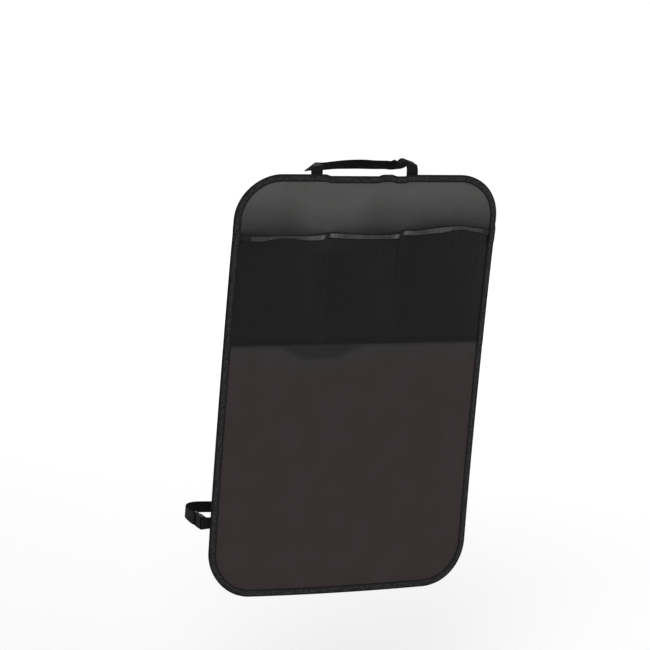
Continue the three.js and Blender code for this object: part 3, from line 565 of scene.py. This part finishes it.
def back_panel():
    straight = HALF_HEIGHT - CORNER_RADIUS
    foot_z, foot_half = corner_rows(PANEL_INSET, -1)
    rows = steps(-straight, straight, round(2 * straight / ROW_SPACING))[1:-1]
    z = np.concatenate([foot_z[::-1], rows, -foot_z])
    half = np.concatenate([foot_half[::-1], np.full(len(rows), HALF_WIDTH - PANEL_INSET), foot_half])
    shares = steps(-1, 1, PANEL_COLUMNS)
    x = half[:, None] * shares[None, :]
    heights = np.repeat(z[:, None], len(shares), axis=1)
    front = place(x, heights, -PANEL_THICKNESS)
    back = place(x, heights, 0)
    piece = strip("panel", front, back, z, shares * HALF_WIDTH, panel_cloth)
    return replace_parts(piece, "back_panel")


# Edge tape
CORNER_STATIONS = 44
STATION_SPACING = 3


def outline():
    """Stations round the mat's outline: x, z, the way inwards, and the distance round it."""
    straight = HALF_HEIGHT - CORNER_RADIUS
    flat = HALF_WIDTH - CORNER_RADIUS
    stations = []

    def corner(x, z, start):
        for angle in steps(start, start + np.pi / 2, CORNER_STATIONS):
            c, s = math.cos(angle), math.sin(angle)
            stations.append((x + CORNER_RADIUS * c, z + CORNER_RADIUS * s, -c, -s))

    def side(start, end, inward):
        count = round(math.dist(start, end) / STATION_SPACING)
        for x, z in zip(steps(start[0], end[0], count)[1:-1], steps(start[1], end[1], count)[1:-1]):
            stations.append((x, z, *inward))

    corner(flat, straight, 0)
    side((flat, HALF_HEIGHT), (-flat, HALF_HEIGHT), (0, -1))
    corner(-flat, straight, np.pi / 2)
    side((-HALF_WIDTH, straight), (-HALF_WIDTH, -straight), (1, 0))
    corner(-flat, -straight, np.pi)
    side((-flat, -HALF_HEIGHT), (flat, -HALF_HEIGHT), (0, 1))
    corner(flat, -straight, 1.5 * np.pi)
    side((HALF_WIDTH, -straight), (HALF_WIDTH, straight), (-1, 0))
    table = np.array(stations)
    loop = np.vstack([table[:, :2], table[:1, :2]])
    return table[:, 0], table[:, 1], table[:, 2], table[:, 3], lengths(loop)


def tape_lift(x, z):
    """How far the tape's front leg stands off the panel, over the net and the hem's ends."""
    lift = np.zeros(len(x))
    for sign in (-1, 1):
        ends = [float(hem_height(sign * reach)) for reach in (TAPE_INNER_X, NET_SIDE_X)]
        hem_top = max(ends) + LAYER_MARGIN
        hem_foot = min(ends) - HEM_HEIGHT - LAYER_MARGIN
        climb = NET_FOOT_Z + (hem_foot - NET_FOOT_Z) * HEM_FOOT_RISE - 2 * LAYER_MARGIN
        foot = NET_FOOT_Z - LAYER_MARGIN
        over_net = NET_THICKNESS + SEWN_GAP
        over_hem = over_net + 2 * HEM_LIFT
        heights = [foot - TAPE_STEP, foot, climb, hem_foot, hem_top, hem_top + TAPE_STEP]
        lifts = [0, over_net, over_net, over_hem, over_hem, 0]
        side = sign * x > HALF_WIDTH - 1
        lift = np.where(side, np.interp(z, heights, lifts), lift)
    return lift


station_x, station_z, in_x, in_z, station_at = outline()
station_lift = tape_lift(station_x, station_z)


def tape_pucker():
    """Small gathers of the tape, stronger round the corners, where its inner edge has to shrink."""
    s = station_at[:-1]
    corner = ramp(np.abs(station_x), 150, 190) * ramp(np.abs(station_z), 270, 310)
    regular = np.sin(2 * np.pi * s / 9.5 + 1.5 * np.sin(s / 53))
    return TAPE_PUCKER * (0.25 + 0.9 * corner) * regular * (0.7 + 0.3 * np.sin(s / 29))


station_pucker = tape_pucker()


def tape_at(inwards, offset):
    """Points of the tape round the whole mat at one distance in from the edge."""
    return place(station_x + in_x * inwards, station_z + in_z * inwards, offset)


def tape_front(inwards):
    """Offset of the tape's front face at a distance in from the mat's edge."""
    share = inwards / TAPE_WIDTH
    bulge = TAPE_BULGE * math.sin(math.pi * min(1, share * 1.1)) ** 2 if share < 0.91 else 0
    return (
        NET_BACK - station_lift - TAPE_THICKNESS + 0.15 * ramp(share, 0.8, 1)
        - bulge - station_pucker * math.sin(math.pi * share) ** 0.5
    )


def tape_back(inwards):
    share = inwards / TAPE_WIDTH
    return SEWN_GAP + TAPE_THICKNESS + 0.5 * station_pucker * math.sin(math.pi * share)


def edge_tape():
    legs = [12, 11.6, 10.6, 9, 7.5, 6, 4.5, 3.2, 2]
    outer = [tape_at(inwards, tape_front(inwards)) for inwards in legs]
    inner = [tape_at(inwards, tape_front(inwards) + TAPE_THICKNESS) for inwards in legs]
    half = (tape_back(2) - tape_front(2)) / 2
    middle = (tape_back(2) + tape_front(2)) / 2
    for angle in steps(0, np.pi, 6)[1:-1]:
        reach = 2 - 2 * math.sin(angle) ** 0.8
        outer.append(tape_at(reach, middle - half * math.cos(angle)))
        held = max(reach, TAPE_THICKNESS)
        inner.append(tape_at(held, middle - (half - TAPE_THICKNESS) * math.cos(angle)))
    for inwards in reversed(legs):
        outer.append(tape_at(inwards, tape_back(inwards)))
        inner.append(tape_at(inwards, tape_back(inwards) - TAPE_THICKNESS))
    outer = np.stack(outer, axis=1)
    inner = np.stack(inner, axis=1)
    across = lengths(outer[0])
    across = np.minimum(across, across[-1] - across)
    piece = strip(
        "edge_binding", outer, inner, station_at, across, tape_cloth, closed=True,
    )
    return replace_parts(piece, "edge_tape")


# Net
def net_place(x, height, offset):
    """Points of the net, height millimetres up its flat pattern."""
    rise = np.clip(height / NET_HEIGHT, 0, 1)
    z = NET_FOOT_Z + (net_top(x) - NET_FOOT_Z) * rise
    return place(x, z, NET_BACK - NET_THICKNESS / 2 - net_lift(x, rise) + offset)


def net_sheet(name, height, offset, shift):
    """A sheet of six-sided holes, from the net's foot up to a height."""
    row_step = NET_PITCH * math.sqrt(3) / 2
    rows = np.arange(math.ceil(height / row_step) + 1)
    columns = np.arange(-math.ceil(NET_SIDE_X / NET_PITCH), math.ceil(NET_SIDE_X / NET_PITCH) + 1)
    row, column = (part.ravel() for part in np.meshgrid(rows, columns, indexing="ij"))
    centres = np.stack([(column + 0.5 * (row % 2) + shift) * NET_PITCH, row * row_step], axis=1)
    inside = (np.abs(centres[:, 0]) <= NET_SIDE_X) & (centres[:, 1] <= height)
    centres = centres[inside]
    angles = np.pi / 2 + np.arange(6) * np.pi / 3
    ring = np.stack([np.cos(angles), np.sin(angles)], axis=1) * NET_PITCH / math.sqrt(3)
    outer = (centres[:, None] + ring).reshape(-1, 2)
    inner = (centres[:, None] + ring * (1 - NET_STRAND / NET_PITCH)).reshape(-1, 2)
    flat = np.vstack([outer, inner])
    flat[:, 0] = np.clip(flat[:, 0], -NET_SIDE_X, NET_SIDE_X)
    flat[:, 1] = np.clip(flat[:, 1], 0, height)
    flat, index = np.unique(np.round(flat, 4), axis=0, return_inverse=True)
    index = index.ravel()
    cell, k = (part.ravel() for part in np.meshgrid(np.arange(len(centres)), np.arange(6), indexing="ij"))
    here = cell * 6 + k
    following = cell * 6 + (k + 1) % 6
    faces = np.stack([index[part] for part in (
        here, following, following + len(outer), here + len(outer),
    )], axis=1)
    corners = flat[faces]
    diagonals = corners[:, 2] - corners[:, 0], corners[:, 3] - corners[:, 1]
    areas = np.abs(diagonals[0][:, 0] * diagonals[1][:, 1] - diagonals[0][:, 1] * diagonals[1][:, 0]) / 2
    faces = faces[areas > 0.02]
    points = net_place(flat[:, 0], flat[:, 1], offset)
    mesh = bpy.data.meshes.new(name)
    mesh.from_pydata((points * METRE).tolist(), [], faces.tolist())
    mesh.validate()
    return finished(name, mesh, net_yarn, smooth_angle=80), float(areas.sum())


# Hem
def pocket_hem():
    """Stretch band folded over the net's top edge, wavy and a little rolled."""
    x = steps(-NET_SIDE_X, NET_SIDE_X, 300)
    top = hem_height(x)
    wide = np.interp(x, hem_shown[:, 0], hem_shown[:, 1])
    rolled = HEM_STANDS_OUT * ramp(wide, 10.4, 7.6)
    beside = sum(np.exp(-(((x - divider - 9) / 11) ** 2)) for divider in DIVIDERS_X)
    ends = ramp(NET_SIDE_X - np.abs(x), 4, 22)
    crease = 0.55 * beside * np.sin(2 * np.pi * x / 7.5)
    radius = HEM_THICKNESS + SEWN_GAP + NET_THICKNESS / 2
    outer, inner = [], []

    def add(down, offset, thickness_way):
        """One line along the hem. thickness_way points from the outer face into the band."""
        height = np.minimum(NET_HEIGHT, (top - down - NET_FOOT_Z) / (top - NET_FOOT_Z) * NET_HEIGHT)
        rise = height / NET_HEIGHT
        base = NET_BACK - net_lift(x, rise) - NET_THICKNESS / 2
        outer.append(place(x, top - down, base + offset))
        down_in = down + HEM_THICKNESS * thickness_way[0]
        inner.append(place(x, top - down_in, base + offset + HEM_THICKNESS * thickness_way[1]))

    for share in (1, 0.8, 0.55, 0.32, 0.14):
        add(wide * share, radius, (0, -1))
    for angle in steps(0, np.pi, 8)[1:-1]:
        c, s = math.cos(angle), math.sin(angle)
        add(radius - radius * s, radius * c, (s, -c))
    for share in (0.14, 0.24, 0.36, 0.5, 0.64, 0.78, 0.9, 1):
        full = math.sin(math.pi * share) ** 0.8 if share < 1 else 0
        stands = (HEM_BULGE + crease) * full + rolled * share**2
        add(wide * share, -radius - stands * ends, (0, 1))
    outer = np.stack(outer, axis=1)
    inner = np.stack(inner, axis=1)
    piece = strip(
        "pocket_band", outer, inner, lengths(outer[:, 0]), lengths(outer[0]), hem_cloth,
    )
    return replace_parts(piece, "pocket_hem")


# Webbing
def webbing(name, middles, ways, width, replaced):
    """A flat web along its middle line. ways are the directions across it."""
    along = np.gradient(middles, axis=0)
    along /= np.linalg.norm(along, axis=1)[:, None]
    side = ways - along * np.sum(ways * along, axis=1)[:, None]
    side /= np.linalg.norm(side, axis=1)[:, None]
    face = np.cross(along, side)
    across = np.array([-1, -0.985, -0.94, -0.6, -0.2, 0.2, 0.6, 0.94, 0.985, 1])
    thick = np.array([0.35, 0.8, 1, 1, 1, 1, 1, 1, 0.8, 0.35])
    centre = middles[:, None] + side[:, None] * (across * width / 2)[:, None]
    half = face[:, None] * (thick * WEB_THICKNESS / 2)[:, None]
    piece = strip(
        name, centre + half, centre - half, lengths(middles), across * width / 2, web_cloth,
    )
    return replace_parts(piece, replaced)


ON_PANEL = HEADREST_WEB_GAP + WEB_THICKNESS / 2
ON_TAPE = ON_PANEL + SEWN_GAP + TAPE_THICKNESS


def headrest_strap():
    """Strap from the mat's top edge, behind the headrest's posts and back."""
    top = HALF_HEIGHT
    left, right = HEADREST_LEFT_X, HEADREST_RIGHT_X
    ridge = top + STRAP_RISE
    far = STRAP_BACK_Y

    def behind(x, down, offset):
        return x, float(seat_surface(x, top - down)) + offset, top - down

    def between_legs(share):
        return left + (right - left) * share

    def sewn(x):
        return [
            behind(x, HEADREST_SEWN, ON_PANEL),
            behind(x, TAPE_WIDTH + 7, ON_PANEL),
            behind(x, TAPE_WIDTH + 5, ON_PANEL + 0.1),
            behind(x, TAPE_WIDTH, ON_TAPE + 0.1),
            behind(x, TAPE_WIDTH - 3, ON_TAPE),
            behind(x, 2, ON_TAPE),
        ]

    path = [
        *[(*point, 1, 0, 0) for point in sewn(left)],
        (left + 0.5, -3.5, top + 7, 1, 0, 0),
        (left + 1.5, 0.5, ridge - 5, 1, 0, 0.1),
        (left + 2.5, 8, ridge - 5.5, 0.97, 0, 0.22),
        (left + 3.5, 20, ridge - 8.5, 0.88, 0, 0.42),
        (left + 5, far - 26, ridge - 11, 0.8, 0, 0.58),
        (left + 7.5, far - 14, top + 0.8, 0.72, -0.1, 0.6),
        (left + 13, far - 4.5, top - 1, 0.5, -0.45, 0.7),
        (left + 21.5, far, top - 0.7, 0.15, -0.62, 0.77),
        (between_legs(0.21), far + 1, top - 0.7, 0, -0.66, 0.75),
        (between_legs(0.37), far + 0.5, top + 2, 0, -0.62, 0.78),
        (between_legs(0.5), far, top + 3.2, 0, -0.54, 0.84),
        (between_legs(0.635), far, top + 3.5, 0, -0.53, 0.85),
        (between_legs(0.765), far, top + 2.7, 0, -0.58, 0.81),
        (right - 18, far, top + 2.6, 0, -0.6, 0.8),
        (right - 9.5, far - 2, top + 2.4, -0.1, -0.58, 0.8),
        (right - 2.5, far - 8, top + 5.2, -0.35, -0.45, 0.8),
        (right + 0.5, far - 20, top + 9.2, -0.85, -0.2, 0.48),
        (right, far - 32, ridge + 0.3, -0.96, 0, 0.22),
        (right - 1, 12, ridge + 3.2, -0.95, 0, 0.3),
        (right - 1, 0, ridge + 0.6, -0.95, 0, 0.3),
        (right, -4.5, top + 8, -1, 0, 0.08),
        *[(*point, -1, 0, 0) for point in reversed(sewn(right))],
    ]
    path = np.array(path, float)
    shares = steps(0, 1, 8 * (len(path) - 1))
    middles = curve(path[:, :3], shares)
    ways = curve(path[:, 3:], shares)
    return webbing("headrest_webbing", middles, ways, HEADREST_WEB_WIDTH, "headrest_strap")


def from_buckle(along, out):
    """A point given in the buckle's own directions: along the strap, and out from the seat."""
    c, s = math.cos(math.radians(BUCKLE_TURN)), math.sin(math.radians(BUCKLE_TURN))
    return -HALF_WIDTH - BUCKLE_OUT - along * s - out * c, BUCKLE_Y + along * c - out * s


LOOP_LEFT_X = from_buckle(PLUG_END, STANDING_OUT)[0]
LOOP_RIGHT_X = HALF_WIDTH + LOOP_RIGHT_OUT


def upright_web(name, points, replaced, sag=0):
    """A web that stands on edge, through points seen from above. sag lowers its far stretch."""
    points = curve(points, steps(0, 1, 4 * (len(points) - 1)))
    x, y = points.T
    share = (x - LOOP_LEFT_X) / (LOOP_RIGHT_X - LOOP_LEFT_X)
    lower = 4 * sag * share * (1 - share) * ramp(y, SEAT_DEPTH / 2, SEAT_DEPTH)
    middles = np.stack([x, y, LOWER_STRAP_Z - lower], axis=1)
    return webbing(name, middles, np.tile([0.0, 0.0, 1.0], (len(x), 1)), LOWER_WEB_WIDTH, replaced)


def arc(x, y, radius, start, end, count):
    """Points of an arc seen from above, angles in degrees."""
    return [
        (x + radius * math.cos(math.radians(a)), y + radius * math.sin(math.radians(a)))
        for a in steps(start, end, count)
    ]


def behind_mat(x, layer):
    """Where a web lies behind the mat at the lower strap's height, layer by layer."""
    clear = SEWN_GAP + TAPE_THICKNESS + LOWER_WEB_GAP + WEB_THICKNESS / 2
    return x, float(seat_surface(x, LOWER_STRAP_Z)) + clear + layer * (WEB_THICKNESS + SEWN_GAP)


def socket_tab():
    """Short web looped through the socket's bar and sewn in behind the mat's left edge."""
    near = -steps(HALF_WIDTH - LOWER_SEWN, HALF_WIDTH + TAB_RUN_OUT, 4)
    reach = math.hypot(BAR_LENGTH, BAR_THICKNESS) / 2 + SEWN_GAP + WEB_THICKNESS / 2
    points = [
        *[behind_mat(x, 0) for x in near],
        *arc(*from_buckle(BAR_LENGTH / 2, 0), reach, 270, 45, 7),
        *[behind_mat(x, 1) for x in near[::-1]],
    ]
    return upright_web("tab_webbing", points, "socket_tab")


def lower_strap():
    """Long web from the plug, round the seat's back rest and in behind the mat's right edge."""
    slot_a = PLUG_START + BAR_LENGTH + WEB_SLOT / 2
    slot_b = slot_a + WEB_SLOT + BAR_LENGTH
    over = BAR_THICKNESS / 2 + 2 * SEWN_GAP + WEB_THICKNESS / 2
    threaded = [from_buckle(along, out) for along, out in (
        (PLUG_END, TAIL_OUT),
        (slot_b + 2, TAIL_OUT + 0.1),
        (slot_b + 0.7, TAIL_OUT - 0.3),
        (slot_b + 0.1, TAIL_OUT - 1.5),
        (slot_b, 0),
        (slot_b - 0.5, 0.5 - over),
        ((slot_a + slot_b) / 2, -over),
        (slot_a + 0.5, 0.5 - over),
        (slot_a, 0),
        (slot_a + 0.1, TAIL_OUT - 0.6),
        (slot_a + 1.6, STANDING_OUT - 0.4),
        (slot_b, STANDING_OUT),
        (PLUG_END, STANDING_OUT),
    )]
    tail_x, tail_y = threaded[0]
    turn = SEAT_DEPTH - SEAT_CORNER
    left_x, right_x = LOOP_LEFT_X + SEAT_CORNER, LOOP_RIGHT_X - SEAT_CORNER
    right = arc(right_x, turn, SEAT_CORNER, 90, -LOOP_RIGHT_LEAN, 6)
    sewn = [behind_mat(x, 0) for x in steps(HALF_WIDTH - LOWER_FREE, HALF_WIDTH - LOWER_SEWN, 3)]
    start_x, start_y = right[-1]
    edge_y = behind_mat(HALF_WIDTH, 0)[1]
    edge_x = start_x - (start_y - edge_y) * math.tan(math.radians(LOOP_RIGHT_LEAN))
    start, edge, end = (np.array(point) for point in (right[-1], (edge_x, edge_y), sewn[0]))
    bend = [
        tuple((1 - t) ** 2 * start + 2 * t * (1 - t) * edge + t * t * end) for t in steps(0, 1, 8)[1:-1]
    ]
    points = [
        (tail_x, tail_y + TAIL_LENGTH), *threaded,
        *arc(left_x, turn, SEAT_CORNER, 180, 90, 5),
        *[(x, SEAT_DEPTH) for x in steps(left_x, right_x, 12)[1:-1]],
        *right, *bend, *sewn,
    ]
    return upright_web("lower_webbing", points, "lower_strap", LOWER_STRAP_SAG)


# Stitches
STITCH_RINGS = np.array([(0, 0.3), (0.16, 0.9), (0.5, 1), (0.84, 0.9), (1, 0.3)])
STITCH_SIDES = 6


def stitch_row(path, facing, pitch=STITCH_PITCH, length=STITCH_LENGTH):
    """Points of a row of stitches along a path on a surface that faces one way."""
    at = lengths(path)
    starts = np.arange(pitch / 2, at[-1] - length, pitch)
    s = starts[:, None] + STITCH_RINGS[:, 0] * length
    centres = np.stack([np.interp(s, at, path[:, k]) for k in range(3)], axis=-1)
    out = np.asarray(facing, float)
    along = centres[:, -1] - centres[:, 0]
    along /= np.linalg.norm(along, axis=1)[:, None]
    side = np.cross(along, out)
    side /= np.linalg.norm(side, axis=1)[:, None]
    lift = THREAD_RADIUS * (0.2 + 0.9 * np.sin(np.pi * STITCH_RINGS[:, 0]))
    centres = centres + out * lift[:, None]
    angles = np.arange(STITCH_SIDES) * 2 * np.pi / STITCH_SIDES
    radii = THREAD_RADIUS * STITCH_RINGS[:, 1]
    round_side = side[:, None, None] * np.cos(angles)[:, None] * 1.25
    round_out = out * np.sin(angles)[:, None]
    return centres[:, :, None] + (round_side + round_out) * radii[:, None, None]


def stitches(name, rows):
    """One piece of many stitches."""
    points = np.concatenate(rows)
    count, rings, sides = points.shape[:3]
    base = np.arange(count)[:, None, None] * rings * sides
    i = np.arange(rings - 1)[:, None]
    j = np.arange(sides)
    near = i * sides + j
    next_side = i * sides + (j + 1) % sides
    walls = np.stack([near, next_side, next_side + sides, near + sides], axis=-1)
    faces = (base[..., None] + walls).reshape(-1, 4).tolist()
    ends = np.stack([j, (rings - 1) * sides + j])
    faces += (base + ends).reshape(-1, sides).tolist()
    mesh = bpy.data.meshes.new(name)
    mesh.from_pydata((points.reshape(-1, 3) * METRE).tolist(), [], faces)
    return finished(name, mesh, thread)


FRONT = (0, -1, 0)
BACK = (0, 1, 0)
EDGE_STITCH = 10.4  # distance of the stitching in from the mat's edge


def edge_stitches():
    front = tape_at(EDGE_STITCH, tape_front(EDGE_STITCH))
    back = tape_at(EDGE_STITCH, tape_back(EDGE_STITCH))
    return stitches("edge_stitches", [stitch_row(front, FRONT), stitch_row(back, BACK)])


def divider_stitches():
    rows = []
    height = steps(1, NET_HEIGHT * HEM_FOOT_RISE - 1, 60)
    for divider in DIVIDERS_X:
        for aside in (-1.5, 1.5):
            x = np.full(len(height), divider + aside)
            rows.append(stitch_row(net_place(x, height, -NET_THICKNESS / 2), FRONT))
    return stitches("divider_stitches", rows)


def foot_stitches():
    x = steps(-NET_SIDE_X + 9, NET_SIDE_X - 9, 300)
    rows = [
        stitch_row(net_place(x, np.full(len(x), up), -1.5 * NET_THICKNESS), FRONT)
        for up in (1.6, NET_FOOT_FOLD - 1.8)
    ]
    return stitches("foot_stitches", rows)


def box_stitch(corners, facing):
    """A rectangle of stitches with both diagonals. corners go round it."""
    corners = [np.array(corner, float) for corner in corners]
    lines = [(corners[k], corners[(k + 1) % 4]) for k in range(4)]
    lines += [(corners[0], corners[2]), (corners[1], corners[3])]
    return [stitch_row(np.linspace(a, b, 12), facing, BOX_PITCH, BOX_LENGTH) for a, b in lines]


def strap_stitches():
    rows = []
    inset = 2.4
    half = HEADREST_WEB_WIDTH / 2 - inset
    for x in (HEADREST_LEFT_X, HEADREST_RIGHT_X):
        low, high = HALF_HEIGHT - HEADREST_SEWN + inset, HALF_HEIGHT - TAPE_WIDTH - 6
        out = ON_PANEL + WEB_THICKNESS / 2
        rows += box_stitch(
            [(x + dx, float(seat_surface(x, z)) + out, z) for dx, z in (
                (-half, low), (half, low), (half, high), (-half, high),
            )], BACK,
        )
    half = LOWER_WEB_WIDTH / 2 - inset
    out = WEB_THICKNESS / 2
    for sign, layer in ((-1, 1), (1, 0)):
        near, far = HALF_WIDTH - LOWER_SEWN + inset, HALF_WIDTH - 12
        rows += box_stitch(
            [(sign * x, behind_mat(sign * x, layer)[1] + out, LOWER_STRAP_Z + dz) for x, dz in (
                (near, -half), (far, -half), (far, half), (near, half),
            )], BACK,
        )
    return stitches("strap_stitches", rows)


panel = back_panel()
binding = edge_tape()
net, net_area = net_sheet("net_wall", NET_HEIGHT, 0, 0)
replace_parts(net, "pocket_net")
net_fold, fold_area = net_sheet("net_foot_fold", NET_FOOT_FOLD, -NET_THICKNESS, 0.5)
band = pocket_hem()
headrest_strap()
socket_tab()
lower_strap()
edge_thread = edge_stitches()
divider_thread = divider_stitches()
foot_thread = foot_stitches()
strap_stitches()
for name in ("buckle_socket", "buckle_plug"):
    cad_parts[name].data.materials.clear()
    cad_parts[name].data.materials.append(plastic)

# Camera, at the photograph's place
CAMERA_AZIMUTH = -0.41645844
CAMERA_ELEVATION = 0.23662718
CAMERA_ROLL = 0.08466234
CAMERA_DISTANCE = 4391.646
CAMERA_RIGHT = -44.9735
CAMERA_UP = 97.0988
FOCAL_PIXELS = 2700.293
PICTURE_PIXELS = 650
SENSOR = 36


def photo_camera():
    """The camera looks at the middle of the mat from the front left, from a little above."""
    sin_a, cos_a = math.sin(CAMERA_AZIMUTH), math.cos(CAMERA_AZIMUTH)
    sin_e, cos_e = math.sin(CAMERA_ELEVATION), math.cos(CAMERA_ELEVATION)
    forward = Vector((-sin_a * cos_e, cos_a * cos_e, -sin_e))
    level = Vector((cos_a, sin_a, 0))
    upward = level.cross(forward)
    right = math.cos(CAMERA_ROLL) * level + math.sin(CAMERA_ROLL) * upward
    up = math.cos(CAMERA_ROLL) * upward - math.sin(CAMERA_ROLL) * level
    place_mm = CAMERA_RIGHT * right + CAMERA_UP * up - CAMERA_DISTANCE * forward
    data = bpy.data.cameras.new("photo_camera")
    data.sensor_width = SENSOR
    data.lens = FOCAL_PIXELS / PICTURE_PIXELS * SENSOR
    data.clip_end = 100
    camera = bpy.data.objects.new("photo_camera", data)
    turn = Matrix((right, up, -forward)).transposed().to_4x4()
    camera.matrix_world = Matrix.Translation(place_mm * METRE) @ turn
    bpy.context.scene.collection.objects.link(camera)
    bpy.context.scene.camera = camera


photo_camera()


# Light, floor and background, in metres and watts
FLOOR_BELOW = 0.30
FLOOR_RADIUS = 20
FLOOR_SIDES = 64
# The floor's own light: little by the mat, so that its shadow shows, and more where no lamp reaches
GLOW_NEAR = 0.19
GLOW_FAR = 0.44
GLOW_STARTS = 1.5
GLOW_FULL = 6
AMBIENT = 0.62
BACKGROUND = (1.0, 1.0, 1.0, 1)
# Lamps: name, place, size, power
LAMPS = [
    ("key", (-2.2, -3.2, 2.6), 2.4, 62),
    ("fill", (2.6, -2.4, 0.8), 2.2, 16),
    ("back", (1.6, 3.4, 1.8), 2.4, 34),
]


def seen_directly(tree):
    """1 for rays from the camera and for mirrored or refracted rays, otherwise 0."""
    path = node(tree, "ShaderNodeLightPath", {}).outputs
    shown = sums(tree, "MAXIMUM", path["Is Camera Ray"], path["Is Glossy Ray"])
    return sums(tree, "MAXIMUM", shown, path["Is Transmission Ray"])


def set_world():
    world = bpy.data.worlds.new("studio")
    world.use_nodes = True
    tree = world.node_tree
    background = tree.nodes["Background"]
    background.inputs["Color"].default_value = BACKGROUND
    shown = seen_directly(tree)
    strength = node(
        tree, "ShaderNodeMapRange", {"Value": shown, "To Min": AMBIENT, "To Max": 1.0},
    )
    tree.links.new(strength.outputs[0], background.inputs["Strength"])
    bpy.context.scene.world = world


def area_light(name, place_at, size, watts):
    data = bpy.data.lights.new(name, "AREA")
    data.shape = "DISK"
    data.size = size
    data.energy = watts
    lamp = bpy.data.objects.new(name, data)
    lamp.location = place_at
    lamp.rotation_euler = (Vector((0, 0, 0)) - Vector(place_at)).to_track_quat("-Z", "Y").to_euler()
    bpy.context.scene.collection.objects.link(lamp)


def studio_floor():
    """A wide pale floor, open to the white world on all sides."""
    floor_z = solids_box[0][2] - FLOOR_BELOW
    angles = steps(0, 2 * np.pi, FLOOR_SIDES)[:-1]
    points = [(FLOOR_RADIUS * math.cos(a), FLOOR_RADIUS * math.sin(a), floor_z) for a in angles]
    mesh = bpy.data.meshes.new("studio_floor")
    mesh.from_pydata(points, [], [tuple(range(FLOOR_SIDES))])
    material, tree, shader = new_material("studio_floor")
    shader.inputs["Base Color"].default_value = (0.9, 0.9, 0.9, 1)
    shader.inputs["Roughness"].default_value = 0.9
    shader.inputs["Specular IOR Level"].default_value = 0.1
    where = node(tree, "ShaderNodeTexCoord", {}).outputs["Object"]
    away = node(tree, "ShaderNodeVectorMath", {0: where}, operation="LENGTH").outputs["Value"]
    inputs = {
        "Value": away, "From Min": GLOW_STARTS, "From Max": GLOW_FULL,
        "To Min": GLOW_NEAR, "To Max": GLOW_FAR,
    }
    strength = node(tree, "ShaderNodeMapRange", inputs, interpolation_type="SMOOTHSTEP").outputs[0]
    glow = sums(tree, "MULTIPLY", seen_directly(tree), strength)
    shader.inputs["Emission Color"].default_value = BACKGROUND
    tree.links.new(glow, shader.inputs["Emission Strength"])
    mesh.materials.append(material)
    floor = bpy.data.objects.new("studio_floor", mesh)
    bpy.context.scene.collection.objects.link(floor)


set_world()
for lamp_facts in LAMPS:
    area_light(*lamp_facts)
studio_floor()
bpy.context.scene.view_settings.view_transform = "Standard"
